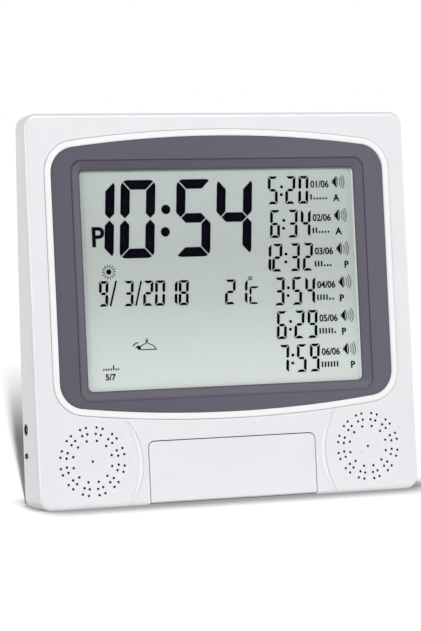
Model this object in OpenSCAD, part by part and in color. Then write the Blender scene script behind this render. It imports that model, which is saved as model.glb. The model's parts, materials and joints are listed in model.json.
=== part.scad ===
// Azan clock: a table clock with a large liquid crystal display, two speakers
// and a button cover that folds down between them.
// X runs to the right, Y to the back and Z up. The case leans back and stands on
// z = 0, with the origin at the middle of its flat underside.
// Inside the modules the case is drawn upright: y is the depth behind its front
// face and z the height along that face. leaned() then tips it back.

/* [Case] */
// Width of the case
case_w = 206.4; // [202:0.2:216]
// Height of the case along its front
case_h = 195; // [192:0.5:204]
// Depth of the front shell's side walls
shell_d = 13; // [12:0.5:14]
// Wall thickness of both shells
wall = 2.2; // [1.8:0.1:2.4]
// Corner radius of the case, seen from the front
corner_r = 6.5; // [5:0.5:10]
// Rounding of the front edge
edge_r = 2; // [1:0.25:2.25]
// Lean of the case from upright
lean = 6.9; // [5:0.1:9]
// Depth of the case at its bottom edge, beside the battery hump
low_d = 22.6; // [22:0.2:24]
// Depth of the case at its top edge
top_d = 11.9; // [11.7:0.1:12.6]
// Radius of the curve of the back
back_r = 2500; // [2000:100:4000]
// Overlap of the two shells at the parting line
lip_h = 2; // [1:0.25:2.5]
// Thickness of the lip on the rear shell
lip_t = 1.2; // [1:0.1:1.5]
// Gap between the lip and the front shell
lip_gap = 0.15; // [0.1:0.05:0.3]

/* [Display] */
// Width of the dark display surround
surround_w = 181; // [178:0.5:184]
// Height of the surround's lower edge, at its middle
surround_low = 44.2; // [43.5:0.1:47]
// Gap from the surround's upper edge, at its middle, to the top of the case
surround_gap = 11.6; // [10:0.2:14]
// Radius of the surround's upper edge
surround_top_r = 620; // [500:10:900]
// Radius of the surround's lower edge
surround_low_r = 660; // [500:10:900]
// Corner radius of the surround
surround_corner_r = 13; // [10:0.5:16]
// How far the surround's face lies behind the case's front
surround_sink = 0.2; // [0:0.05:0.4]
// Width of the white trim ring round the surround
trim_w = 3.1; // [2:0.1:4]
// How far the trim ring stands out of the front
trim_proud = 0.7; // [0.3:0.1:1.2]
// Gap between the trim ring and the front shell
trim_gap = 0.3; // [0.1:0.05:0.5]
// Width of the visible display
window_w = 149.2; // [144:0.2:150]
// Height of the visible display
window_h = 109.4; // [104:0.2:110]
// How far the display's middle lies below the surround's middle
window_drop = 1.9; // [1:0.1:3]
// Corner radius of the visible display
window_r = 2.5; // [1.5:0.5:4]
// Width of the sloping band round the display
slope_w = 5; // [3:0.25:5]
// Depth of the clear window behind the case's front
window_sink = 2.5; // [2:0.1:3]
// Thickness of the clear window
window_t = 1.5; // [1:0.1:1.6]
// Thickness of each glass plate of the display
glass_t = 1.1; // [0.7:0.1:1.2]

/* [Speakers] */
// Distance of a speaker's middle from the side of the case
speaker_edge = 28.2; // [27:0.2:30]
// Height of the speakers' middles
speaker_v = 23; // [22.5:0.1:23.5]
// Outer diameter of a speaker
speaker_d = 36; // [34:0.5:36]
// Diameter of a hole in the grille
hole_d = 1.3; // [0.9:0.1:1.6]
// Radius of the ring of single holes
ring_1_r = 10.4; // [9.5:0.1:11]
// Radius of the first ring of paired holes
ring_2_r = 13.7; // [13:0.1:14.5]
// Radius of the second ring of paired holes
ring_3_r = 16.9; // [16:0.1:17.2]
// Spacing of the pairs in the first ring of paired holes
pair_2_gap = 2.76; // [2.2:0.1:3.2]
// Spacing of the pairs in the second ring of paired holes
pair_3_gap = 3.2; // [2.4:0.1:3.8]
// Depth of the crescent groove beside each speaker
crescent_d = 0.4; // [0.2:0.1:0.8]

/* [Button cover] */
// Width of the button cover
door_w = 90.2; // [86:0.2:92]
// Height of the button cover's upper edge
door_h = 31.2; // [30:0.2:32]
// Thickness of the button cover
door_t = 2; // [1.6:0.1:2.2]
// Upper corner radius of the button cover
door_r = 3; // [2:0.5:6]
// Gap round the button cover
door_gap = 0.5; // [0.3:0.1:0.7]
// Depth of the recess behind the button cover
recess_d = 9; // [8.6:0.1:9.4]
// Thickness of the wall behind the recess
recess_t = 1.6; // [1.2:0.1:1.8]

/* [Buttons] */
// Width of a button
button_w = 11; // [9:0.5:14]
// Height of a button
button_h = 5.5; // [4.5:0.25:6.5]
// Distance between the buttons in a row
button_pitch = 20.5; // [18:0.5:21]
// Height of the lower row of buttons
button_low = 12; // [11.6:0.1:12.4]
// Distance between the two rows of buttons
row_gap = 11; // [9:0.25:11.5]
// How far the buttons stand out of the recess floor
button_proud = 1.4; // [1:0.1:1.8]
// Travel of a button
button_travel = 1; // [0.6:0.1:1.2]

/* [Battery hump] */
// Width of the hump on the back
hump_w = 108; // [104:0.5:116]
// Height of the top of the hump
hump_h = 92; // [90:0.5:110]
// Depth of the hump behind the front face
hump_d = 36; // [35.8:0.1:39]
// Diameter of a cell
cell_d = 14.2; // [13.5:0.1:14.5]
// Length of a cell, with its nub
cell_l = 50.5; // [48:0.1:51]
// Length of a contact spring
spring_l = 5.6; // [5:0.1:6]
// Thickness of the battery cover
cover_t = 1.8; // [1.4:0.1:2]

/* [Keyholes] */
// Distance between the middles of the two keyholes
keyhole_gap = 120; // [110:1:124]
// Distance from the top of the case to the round part of a keyhole
keyhole_drop = 49; // [40:1:60]
// Diameter of a keyhole's round part
keyhole_d = 8; // [7:0.2:9]
// Width of a keyhole's slot
keyhole_slot_w = 4.2; // [3.6:0.1:4.8]
// Length of a keyhole's slot, to the middle of its upper end
keyhole_slot_l = 8; // [6:0.5:10]

/* [Foot] */
// Distance from the foot's hinge to its far edge
foot_l = 76; // [74:0.5:77]
// Width of the foot
foot_w = 90; // [86:0.5:92]
// Width of the foot's arms and of its bar
foot_arm = 10; // [8:0.25:10.5]
// Thickness of the foot
foot_t = 3.6; // [2.8:0.1:3.8]

/* [Left side] */
// Depth of the power inlet's middle behind the front
inlet_y = 16.9; // [16.7:0.1:17.1]
// Height of the power inlet
inlet_v = 40; // [38.5:0.5:44]
// Outer diameter of the power inlet
inlet_d = 5.8; // [5:0.1:6]
// Bore of the power inlet
inlet_bore_d = 4.2; // [3.4:0.1:4.4]
// Depth of the lamp's middle behind the front
lamp_y = 17.4; // [17:0.1:17.8]
// Height of the lamp
lamp_v = 27; // [26:0.5:29]
// Diameter of the lamp
lamp_d = 3; // [2:0.1:3.2]

/* [Hidden] */
$fn = 64;

// Colours
case_white = "#eceef0";
trim_white = "#ffffff";
surround_grey = "#65626c";
glass_green = "#c5d0c8";
board_green = "#2f6b3c";
plastic_black = "#222226";
steel = "#b9bcc0";
rubber_grey = "#8d9096";

// Clearances and margins
cut = 1;                      // overshoot of a cut
slack = 0.3;                  // gap between pieces that move or are soft
screw_gap = 0.05;             // gap round a screw's shank
pin_gap = 0.06;               // running gap round a hinge pin
seat_gap = 0.1;               // gap between stacked pieces that don't touch

// Back of the case: an arc through its bottom edge and its top edge
chord = norm([case_h, low_d - top_d]);
back_reach = sqrt(back_r * back_r - chord * chord / 4);
back_mid_v = case_h / 2 - back_reach * (low_d - top_d) / chord;
back_mid_y = (low_d + top_d) / 2 - back_reach * case_h / chord;
back_facets = 1440;

function back_y(v) = back_mid_y + sqrt(back_r * back_r - pow(v - back_mid_v, 2));

// Where a point of the upright case lies once the case leans
origin_y = hump_d / cos(lean) / 2;

function lean_y(y, v) = y * cos(lean) + v * sin(lean) - origin_y;
function lean_z(y, v) = v * cos(lean) - y * sin(lean);

lip_root = 1.2;               // depth over which the lip runs on behind the parting line

// Display
surround_top = case_h - surround_gap;
window_v = (surround_low + surround_top) / 2 - window_drop;
rebate_d = 1.2;               // depth of the seat for the surround and the trim ring
ledge_w = 5;                  // width of the ledge that carries the surround
surround_back = window_sink + window_t + seat_gap;
window_lap = 2.2;             // how far the clear window reaches behind the surround
corner_growth = 0.5;          // how much the window's corner radius grows with its outline
glass_lap = 3.4;              // how far the display glass reaches past the visible display
contact_ledge = 4;            // bare edge of the front glass
glass_w = window_w + 2 * glass_lap;
glass_h = window_h + 2 * glass_lap + contact_ledge;
glass_low = window_v - window_h / 2 - glass_lap - contact_ledge;
glass_y = surround_back + seat_gap;
reflector_y = glass_y + 2 * glass_t + seat_gap;
reflector_t = 0.3;
holder_y = reflector_y + reflector_t + seat_gap;
holder_t = 1.2;
holder_rim = 2;               // wall of the holder round the glass
board_y = holder_y + holder_t + 1.2;
board_t = 1.6;
board_back = board_y + board_t;
board_w = glass_w - 6;
board_low = glass_low - 0.5;
board_h = 88;
board_spots = [for (x = [-1, 1], v = [8, board_h - 6]) [x * (board_w / 2 - 5), board_low + v]];
blind_t = 0.4;                // plastic left under a screw's blind hole
tip_gap = 0.2;                // from a screw's tip to the end of its hole
clock_chip_spot = [-22, 30];  // places on the main board: x and height over its lower edge
sound_chip_spot = [14, 34];
amplifier_spot = [46, 30];
sound_chip_size = [18, 8, 2]; // width, height and thickness
sound_chip_legs = 14;
amplifier_size = [5, 4, 1.5];
amplifier_legs = 4;
crystal_spot = [-44, 34];
sensor_spot = [-66, 20];
capacitor_spots = [[34, 20], [43, 20], [52, 20]];
socket_spots = [[-60, 6], [-48, 6], [-14, 6], [48, 6]];  // inlet, left speaker, cells, right speaker
socket_w = 6;
socket_h = 4;
socket_t = 4;
strip_t = 2;                  // thickness of the contact strip
strip_w = glass_w - 9;
strip_v = glass_low + contact_ledge / 2;
screw_post_r = 2.6;
holder_post_v = 34;           // from the display's middle to a screw of the holder
holder_post_x = surround_w / 2 - 2;
holder_spots = [for (x = [-1, 1], v = [-1, 1]) [x * holder_post_x, window_v + v * holder_post_v]];

// Screws: [head radius, head height, shank radius, shank length]
case_screw = [2.7, 1.8, 1.3, 7];
small_screw = [2, 1.2, 0.9, 5];
case_seat = 10.6;             // depth at which the case screws' heads seat
case_seat_t = 1.6;            // plastic under the heads
well_r = 4.1;
boss_r = 3.2;
case_spots = [
    for (x = [-1, 1]) [x * (case_w / 2 - 7.7), case_h - 11],
    for (x = [-1, 1]) [x * (case_w / 2 - 7.7), surround_low + 12],
    for (x = [-1, 1]) [x * (door_w / 2 + 9), 10.5]
];

// Speakers
speaker_x = case_w / 2 - speaker_edge;
speaker_r = speaker_d / 2;
clusters = 12;                // groups of holes round a speaker
gasket_t = 0.8;
gasket_w = 2.4;
rim_w = 3;                    // width of the speaker's rim
rim_t = 1;
cone_back = 5.2;              // depth of the cone behind the rim
basket_t = 0.8;
magnet_r = 10;
magnet_t = 5;
rim_y = wall + gasket_t;
magnet_y = rim_y + rim_t + cone_back + basket_t;
speaker_post_r = speaker_r + 2.2;    // from the speaker's middle to a screw
speaker_boss_r = 1.8;
speaker_spots = [for (a = [45:90:315]) speaker_post_r * [cos(a), sin(a)]];
terminal_x = 12.5;            // tab on the basket that the wire is soldered to
terminal_v = 4;
terminal_w = 4;
terminal_t = 1.2;
grille_disc_r = 19.8;
grille_disc_d = 0.15;
grille_hub_r = 5;
crescent_r = 31.2;            // outer arc of the crescent groove
crescent_in_r = 40;           // inner arc of the crescent groove
crescent_reach = 26.8;        // from the speaker's middle to the crescent's outer arc
crescent_w = 2.9;             // width of the crescent at its middle
crescent_half_h = 19.9;
crescent_v = speaker_v - 1.6;

// Button cover and its recess
recess_w = door_w + 2 * door_gap;
recess_h = door_h + door_gap;
hinge_y = 2.4;                // axis of the cover: its depth, and its height along the front
hinge_v = 4.5;
roll_gap = 0.25;              // between the table and the rolled lower edge of the cover
roll_r = lean_z(hinge_y, hinge_v) - roll_gap;
door_pin_r = 1.2;
door_pin_l = 2.2;
recess_side = 3.6;            // thickness of the recess's side walls

// Buttons
buttons_per_row = 4;
button_spots = [for (row = [0, 1], i = [0:buttons_per_row - 1])
    [(i - (buttons_per_row - 1) / 2) * button_pitch, button_low + row * row_gap]];
recess_back = recess_d + recess_t;
flange_w = 0.8;               // rim behind the wall that keeps a button in
flange_t = 0.8;
dome_y = recess_back + slack + flange_t;
dome_r = 2.2;
mat_y = dome_y + button_travel + 0.6;
mat_t = 0.8;
key_board_y = mat_y + mat_t;
key_board_t = 1.2;
key_post_r = 2;
key_post_gap = 4;             // from the outer buttons to the posts of the key board
key_post_rim = 1;             // of the key board round a post
key_rim = 2;                  // of the key board above and below the buttons
key_post_x = ((buttons_per_row - 1) * button_pitch + button_w) / 2 + key_post_gap + key_post_r;
key_board_w = 2 * (key_post_x + key_post_r + key_post_rim);
key_low = button_low - button_h / 2 - key_rim;
key_high = button_low + row_gap + button_h / 2 + key_rim;
key_post_v = (key_low + key_high) / 2;

// Battery bay
cell_pitch = cell_d + 0.8;
cells = 3;
plate_t = 0.5;
contact_d = 10;               // depth and height of a contact plate
contact_h = 11;
bay_wall = 1.6;
bay_w = cell_l + spring_l + 2 * plate_t + 2 * seat_gap;
bay_low = 16.5;
bay_h = cells * cell_pitch + 1;
cell_y = hump_d - cover_t - 0.7 - cell_d / 2;
bay_floor = cell_y - cell_d / 2 - 0.4;
cover_lap = 2;                // how far the cover reaches past the bay
cover_x = bay_w / 2 + cover_lap;
cover_low = bay_low - 1.5;
cover_high = bay_low + bay_h + 2.5;
cover_pin_r = 0.8;
cover_barrel_r = 1.3;
cover_axis_y = hump_d - cover_barrel_r - 0.1;
cover_axis_v = cover_low - cover_barrel_r - 1.3;
cover_swing_gap = 0.5;        // gap under the cover's lower edge, which swings inwards
cover_notch_r = 7;            // finger notch over the cover's upper edge
cover_arm_w = 6;
cover_arm_x = 18;
cover_pin_l = 1.2;
spring_wire_r = 0.35;
spring_r = 3.4;
spring_turns = 4;
nub_r = 2.7;
nub_l = 1.2;

function cell_v(i) = bay_low + 0.5 + cell_pitch * (i + 0.5);
function cell_side(i) = i % 2 == 0 ? 1 : -1;    // the side of the cell's nub

// Foot, drawn folded down on the table
foot_r = 2.9;
foot_y = hump_d - foot_r - 0.1;
foot_v = (foot_r + foot_y * sin(lean)) / cos(lean);
foot_pin_r = 1.5;
foot_pin_l = 2.4;
foot_axis_y = lean_y(foot_y, foot_v);
groove_d = foot_t + 0.6;      // depth of the foot's groove in the hump
notch_r = 8;                  // finger notch above the folded foot
hump_corner_r = 9;
hump_bevel = 3;
hump_room = hump_d - groove_d - wall;

// Side board
side_board_t = 1.2;
side_x = case_w / 2 - wall;   // inner face of the side wall
inlet_body_l = 11;
inlet_body = 4.6;
inlet_body_h = 8;
inlet_bore_l = 10;
inlet_pin_r = 0.8;
inlet_pin_sink = 0.4;         // from the side of the case to the pin's tip
inlet_lead = 8;               // from the side wall to the inlet's lead
side_board_y = inlet_y - inlet_body / 2 - slack - side_board_t;
lamp_proud = 1.2;
lamp_flange_r = lamp_d / 2 + 0.4;
lamp_flange_t = 1;
lamp_tail = 3;                // how far the lamp reaches behind the side wall
side_post_low = 18.5;         // from the inlet down to the side board's lower post
side_post_high = 6.5;         // and up to its upper post
side_post_in = 12.5;          // from the case's side to these posts
side_post_v = [inlet_v - side_post_low, inlet_v + side_post_high];
side_post_x = side_x - side_post_in;
side_board_rim = 3;           // of the side board round its screws
side_board_in = 2;            // from the side wall to the side board
side_screw_l = 4;

// Wires
wire_r = 0.7;
wire_sides = 8;

// ---------- drawing aids ----------

// An outline drawn in x and height, set y0 behind the front and d thick
module plate(y0, d) {
    translate([0, y0 + d, 0]) rotate([90, 0, 0]) linear_extrude(d) children();
}

// A round piece along y
module post(x, y0, v, r, d) {
    translate([x, y0, v]) rotate([-90, 0, 0]) cylinder(r = r, h = d);
}

// A round piece along x
module rod(x0, y, v, r, l) {
    translate([x0, y, v]) rotate([0, 90, 0]) cylinder(r = r, h = l);
}

module leaned() {
    translate([0, -origin_y, 0]) rotate([-lean, 0, 0]) children();
}

module rounded(w, h, r) {
    square([w - 2 * r, h], center = true);
    square([w, h - 2 * r], center = true);
    for (x = [-1, 1], y = [-1, 1]) translate([x * (w / 2 - r), y * (h / 2 - r)]) circle(r);
}

module stadium(w, h) {
    square([w - h, h], center = true);
    for (x = [-1, 1]) translate([x * (w - h) / 2, 0]) circle(d = h);
}

module case_outline(inset = 0) {
    translate([0, case_h / 2]) rounded(case_w - 2 * inset, case_h - 2 * inset, corner_r - inset);
}

// Everything in front of the curved back
module back_solid(inset = 0) {
    translate([0, back_mid_y, back_mid_v]) rotate([0, 90, 0])
        cylinder(r = back_r - inset, h = 2 * case_w, center = true, $fn = back_facets);
}

// Everything below the table, or below a floor of the given thickness
module under_floor(up = 0) {
    rotate([lean, 0, 0]) translate([-case_w, -case_h, up - case_h]) cube([2 * case_w, 3 * case_h, case_h]);
}

// The room inside the case, without its back
module room(inset, y0) {
    difference() {
        plate(y0, 2 * low_d) case_outline(inset);
        under_floor(inset);
    }
}

// A slab with rounded corners and a rounded front edge
module soft_slab(w, h, d, rc, re) {
    translate([0, 0, h / 2]) {
        plate(re, d - re) rounded(w, h, rc);
        plate(0, d) rounded(w - 2 * re, h - 2 * re, rc - re);
        for (s = [-1, 1]) {
            rod(rc - w / 2, re, s * (h / 2 - re), re, w - 2 * rc);
            translate([s * (w / 2 - re), re, rc - h / 2]) cylinder(r = re, h = h - 2 * rc);
        }
        for (x = [-1, 1], v = [-1, 1]) translate([x * (w / 2 - rc), re, v * (h / 2 - rc)])
            rotate([90, 0, 0]) rotate_extrude() translate([rc - re, 0]) circle(re, $fn = 48);
    }
}

function arc(x, y, r, a0, a1, first, last, n) =
    [for (i = [first:last]) [x + r * cos(a0 + (a1 - a0) * i / n), y + r * sin(a0 + (a1 - a0) * i / n)]];

// Outline of the display surround, grown by d: arched top and bottom, straight sides
function surround_points(d = 0) =
    let (
        hw = surround_w / 2 + d,
        rc = surround_corner_r + d,
        rt = surround_top_r + d,
        rb = surround_low_r + d,
        ct = surround_top + d - rt,
        cb = surround_low - d + rb,
        xc = hw - rc,
        yt = ct + sqrt(pow(rt - rc, 2) - xc * xc),
        yb = cb - sqrt(pow(rb - rc, 2) - xc * xc),
        at = atan2(yt - ct, xc),
        ab = atan2(cb - yb, xc),
        n = 10,
        m = 18
    )
    concat(
        arc(xc, yt, rc, 0, at, 0, n, n),
        arc(0, ct, rt, at, 180 - at, 1, m - 1, m),
        arc(-xc, yt, rc, 180 - at, 180, 0, n, n),
        arc(-xc, yb, rc, 180, 180 + ab, 0, n, n),
        arc(0, cb, rb, 180 + ab, 360 - ab, 1, m - 1, m),
        arc(xc, yb, rc, 360 - ab, 360, 0, n, n)
    );

module surround_outline(d = 0) {
    polygon(surround_points(d));
}

module window_outline(d = 0) {
    translate([0, window_v]) rounded(window_w + 2 * d, window_h + 2 * d, window_r + corner_growth * d);
}

module cross_screw(s, seat) {
    difference() {
        translate([0, seat, 0]) post(0, 0, 0, s[0], s[1]);
        for (a = [0, 90]) translate([0, seat + s[1] - 0.4, 0]) rotate([0, a, 0])
            cube([2.2 * s[2], 1, 0.5 * s[2]], center = true);
    }
    post(0, seat - s[3], 0, s[2], s[3]);
}

module screws(s, seat, spots) {
    for (p = spots) translate([p[0], 0, p[1]]) cross_screw(s, seat);
}

// The part of u that is square to d, at length 1
function square_to(u, d) = let (w = u - (u * d) * d) w / norm(w);

// A tube through points, with flat ends and no twist
module tube(points, r, sides) {
    n = len(points);
    ways = [for (i = [0:n - 1])
        let (t = points[min(i + 1, n - 1)] - points[max(i - 1, 0)]) t / norm(t)];
    first = square_to(abs(ways[0][0]) < 0.7 ? [1, 0, 0] : [0, 0, 1], ways[0]);
    ups = [for (i = 0, u = first; i < n; i = i + 1, u = square_to(u, ways[min(i, n - 1)])) u];
    rings = [for (i = [0:n - 1]) let (w = cross(ways[i], ups[i]))
        [for (k = [0:sides - 1]) let (a = 360 * k / sides) points[i] + r * (cos(a) * ups[i] + sin(a) * w)]];
    polyhedron([for (ring = rings) each ring], concat(
        [[for (k = [sides - 1:-1:0]) k]],
        [for (i = [0:n - 2], k = [0:sides - 1]) let (a = i * sides + k, b = i * sides + (k + 1) % sides)
            each [[a, b, b + sides], [a, b + sides, a + sides]]],
        [[for (k = [0:sides - 1]) (n - 1) * sides + k]]
    ));
}

// ---------- front of the case ----------

module grille_holes() {
    post(0, -cut, 0, hole_d / 2, wall + 2 * cut);
    for (c = [0:clusters - 1]) rotate([0, (c + 0.5) * 360 / clusters, 0]) {
        post(ring_1_r, -cut, 0, hole_d / 2, wall + 2 * cut);
        for (s = [-1, 1]) {
            a2 = s * asin(pair_2_gap / 2 / ring_2_r);
            a3 = s * asin(pair_3_gap / 2 / ring_3_r);
            rotate([0, a2, 0]) post(ring_2_r, -cut, 0, hole_d / 2, wall + 2 * cut);
            rotate([0, a3, 0]) post(ring_3_r, -cut, 0, hole_d / 2, wall + 2 * cut);
        }
    }
}

module grille_relief() {
    difference() {
        post(0, -cut, 0, grille_disc_r, cut + grille_disc_d);
        post(0, -2 * cut, 0, grille_hub_r, 4 * cut);
    }
}

// The shallow crescent on the inner side of the right speaker
module crescent() {
    difference() {
        intersection() {
            post(crescent_r - crescent_reach, -cut, crescent_v, crescent_r, cut + crescent_d);
            translate([-2 * crescent_r, -2 * cut, crescent_v - crescent_half_h])
                cube([2 * crescent_r, 4 * cut, 2 * crescent_half_h]);
        }
        post(crescent_in_r - crescent_reach + crescent_w, -2 * cut, crescent_v, crescent_in_r, 4 * cut);
    }
}

module recess_outline(grow = 0) {
    intersection() {
        rounded(recess_w + 2 * grow, 2 * (recess_h + grow), door_r + door_gap + grow);
        translate([-recess_w, 0]) square([2 * recess_w, 2 * recess_h]);
    }
}

// Walls of the recess behind the button cover, closed at the back
module recess_box() {
    plate(0, recess_back) recess_outline(recess_side);
}

module recess_room() {
    plate(-cut, cut + recess_d) recess_outline();
    // the rolled edge of the cover turns here, open towards the table
    translate([-recess_w / 2, -cut, -low_d]) cube([recess_w, cut + recess_d, low_d + hinge_v]);
}

module front_case() {
    color(case_white) leaned() difference() {
        union() {
            difference() {
                intersection() {
                    soft_slab(case_w, case_h, shell_d, corner_r, edge_r);
                    back_solid();
                }
                room(wall, wall);
                plate(-cut, wall + 2 * cut) surround_outline(-ledge_w);
            }
            difference() {
                intersection() {
                    recess_box();
                    plate(0, shell_d) case_outline(wall / 2);
                }
                for (s = [-1, 1]) post(s * speaker_x, wall, speaker_v, speaker_r + slack, shell_d);
            }
            for (p = case_spots) post(p[0], wall / 2, p[1], boss_r, case_seat - case_seat_t - wall / 2);
            for (p = holder_spots) post(p[0], wall / 2, p[1], screw_post_r, holder_y - wall / 2);
            for (s = [-1, 1]) translate([s * speaker_x, 0, speaker_v]) {
                for (p = speaker_spots) translate([p[0], 0, p[1]])
                    post(0, wall / 2, 0, speaker_boss_r, rim_y + rim_t - wall / 2);
            }
            for (s = [-1, 1])
                post(s * key_post_x, recess_d, key_post_v, key_post_r, key_board_y - recess_d);
        }
        under_floor();
        recess_room();
        plate(-cut, cut + rebate_d) surround_outline(trim_w + trim_gap);
        for (s = [-1, 1]) {
            translate([s * speaker_x, 0, speaker_v]) {
                grille_holes();
                grille_relief();
                for (p = speaker_spots) translate([p[0], 0, p[1]])
                    post(0, wall, 0, small_screw[2] + screw_gap, 4 * wall);
            }
            post(s * key_post_x, recess_d + blind_t, key_post_v, small_screw[2] + screw_gap, shell_d);
        }
        translate([speaker_x, 0, 0]) crescent();
        mirror([1, 0, 0]) translate([speaker_x, 0, 0]) crescent();
        for (p = case_spots) post(p[0], wall, p[1], case_screw[2] + screw_gap, shell_d);
        for (p = holder_spots) post(p[0], wall, p[1], small_screw[2] + screw_gap, shell_d);
        for (p = button_spots) translate([p[0], 0, p[1]])
            plate(recess_d - cut, recess_t + 2 * cut) stadium(button_w + 2 * slack, button_h + 2 * slack);
        rod(-recess_w / 2 - door_pin_l - slack, hinge_y, hinge_v, door_pin_r + pin_gap,
            recess_w + 2 * door_pin_l + 2 * slack);
    }
}

// Points round the visible display, grown by d
function window_points(d) =
    let (r = window_r + corner_growth * d, x = window_w / 2 + d - r, y = window_h / 2 + d - r, n = 8)
    concat(arc(x, y, r, 0, 90, 0, n, n), arc(-x, y, r, 90, 180, 0, n, n),
        arc(-x, -y, r, 180, 270, 0, n, n), arc(x, -y, r, 270, 360, 0, n, n));

// The opening in the surround: it narrows from the front face down to the window
module slope_cutter() {
    grow = slope_w / (window_sink - surround_sink);
    levels = [[-cut, slope_w + grow * (cut + surround_sink)], [window_sink, 0], [surround_back + cut, 0]];
    rings = [for (l = levels) [for (p = window_points(l[1])) [p[0], l[0], window_v + p[1]]]];
    n = len(rings[0]);
    polyhedron([for (ring = rings) each ring], concat(
        [[for (k = [n - 1:-1:0]) k]],
        [for (i = [0:1], k = [0:n - 1]) let (a = i * n + k, b = i * n + (k + 1) % n)
            each [[a, b, b + n], [a, b + n, a + n]]],
        [[for (k = [0:n - 1]) 2 * n + k]]
    ));
}

module trim_ring() {
    color(trim_white) leaned() {
        step = trim_proud / 2;
        plate(-step, rebate_d + step) difference() {
            surround_outline(trim_w);
            surround_outline(0);
        }
        plate(-trim_proud, rebate_d) difference() {
            surround_outline(trim_w - step);
            surround_outline(step);
        }
    }
}

module display_surround() {
    color(surround_grey) leaned() difference() {
        union() {
            plate(surround_sink, rebate_d - surround_sink) surround_outline(-seat_gap);
            plate(surround_sink, surround_back - surround_sink) intersection() {
                window_outline(slope_w + window_lap);
                surround_outline(-ledge_w - seat_gap);
            }
        }
        slope_cutter();
        plate(window_sink, surround_back) window_outline(window_lap + seat_gap);
    }
}

module display_window() {
    color([0.85, 0.9, 0.88, 0.3]) leaned()
        plate(window_sink, window_t) window_outline(window_lap);
}

// ---------- display ----------

module display_front_glass() {
    color(glass_green) leaned() translate([0, 0, glass_low + glass_h / 2])
        plate(glass_y, glass_t) square([glass_w, glass_h], center = true);
}

module display_rear_glass() {
    h = glass_h - contact_ledge;
    color("#9fb0a6") leaned() translate([0, 0, glass_low + contact_ledge + h / 2])
        plate(glass_y + glass_t, glass_t) square([glass_w, h], center = true);
}

module display_reflector() {
    h = glass_h - contact_ledge;
    color("#e6e8e4") leaned() translate([0, 0, glass_low + contact_ledge + h / 2])
        plate(reflector_y, reflector_t) square([glass_w - 1, h - 1], center = true);
}

module display_holder() {
    outer_w = glass_w + 2 * holder_rim + 2 * slack;
    outer_h = glass_h + 2 * holder_rim + 2 * slack;
    mid_v = glass_low + glass_h / 2;
    color("#f4f4f2") leaned() difference() {
        union() {
            translate([0, 0, mid_v]) plate(glass_y, holder_y + holder_t - glass_y)
                square([outer_w, outer_h], center = true);
            for (p = holder_spots) {
                post(p[0], holder_y, p[1], screw_post_r + 1, holder_t);
                arm_x = p[0] > 0 ? outer_w / 2 - cut : -holder_post_x;
                translate([arm_x, holder_y, p[1] - screw_post_r])
                    cube([holder_post_x - outer_w / 2 + cut, holder_t, 2 * screw_post_r]);
            }
            for (p = board_spots) post(p[0], holder_y, p[1], screw_post_r, board_y - holder_y);
        }
        translate([0, 0, mid_v]) plate(glass_y - cut, cut + holder_y - glass_y)
            square([glass_w + 2 * slack, glass_h + 2 * slack], center = true);
        translate([0, 0, strip_v]) plate(holder_y - cut, holder_t + 2 * cut)
            square([strip_w + 2 * slack, strip_t + 2 * slack], center = true);
        for (p = holder_spots)
            post(p[0], holder_y - cut, p[1], small_screw[2] + screw_gap, 3 * cut + holder_t);
        for (p = board_spots) post(p[0], holder_y + blind_t, p[1], small_screw[2] + screw_gap, shell_d);
    }
}

module holder_screws() {
    color(steel) leaned() screws(small_screw, holder_y + holder_t, holder_spots);
}

module contact_strip() {
    color("#d0a3a8") leaned() translate([0, 0, strip_v])
        plate(glass_y + glass_t, board_y - glass_y - glass_t) square([strip_w, strip_t], center = true);
}

// ---------- main board ----------

module main_board() {
    color(board_green) leaned() difference() {
        translate([0, 0, board_low + board_h / 2]) plate(board_y, board_t)
            square([board_w, board_h], center = true);
        for (p = board_spots)
            post(p[0], board_y - cut, p[1], small_screw[2] + screw_gap, board_t + 2 * cut);
    }
}

module board_screws() {
    grip = board_back - holder_y - blind_t - tip_gap;
    short_screw = [small_screw[0], small_screw[1], small_screw[2], grip];
    color(steel) leaned() screws(short_screw, board_back, board_spots);
}

// Draws its children on the back of the main board
module on_board(spot) {
    translate([spot[0], board_back, board_low + spot[1]]) children();
}

// A blob of black resin over the bare chip
module clock_chip() {
    blob_r = 12;
    blob_h = 1.7;
    color(plastic_black) leaned() on_board(clock_chip_spot) intersection() {
        translate([0, blob_h - blob_r, 0]) sphere(blob_r, $fn = 180);
        translate([-blob_r, 0, -blob_r]) cube([2 * blob_r, blob_r, 2 * blob_r]);
    }
}

// A chip with legs down both long sides
module legged_chip(size, legs) {
    pitch = size[0] / legs;
    leg_w = 0.5;
    leg_l = 1.4;
    leg_v = size[1] / 2 + 0.45;
    leg_y = size[2] / 4;
    translate([-size[0] / 2, seat_gap, -size[1] / 2]) cube([size[0], size[2], size[1]]);
    for (i = [0:legs - 1], s = [-1, 1]) translate([(i + 0.5) * pitch - size[0] / 2, leg_y, s * leg_v])
        cube([leg_w, 2 * leg_y, leg_l], center = true);
}

module sound_chip() {
    color(plastic_black) leaned() on_board(sound_chip_spot) legged_chip(sound_chip_size, sound_chip_legs);
}

module amplifier_chip() {
    color(plastic_black) leaned() on_board(amplifier_spot) legged_chip(amplifier_size, amplifier_legs);
}

module crystal() {
    can_r = 1.5;
    can_l = 6.4;
    leg_r = 0.2;
    leg_l = 1.4;
    color(steel) leaned() on_board(crystal_spot) {
        rod(0, can_r, 0, can_r, can_l);
        for (s = [-1, 1]) {
            rod(can_l, can_r, s * 0.6, leg_r, leg_l);
            post(can_l + leg_l, 0, s * 0.6, leg_r, can_r + leg_r);
        }
    }
}

module capacitors() {
    can_r = 3;
    can_h = 4.2;
    color("#2b3f7a") leaned() for (spot = capacitor_spots) on_board(spot) post(0, 0, 0, can_r, can_h);
}

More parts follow.
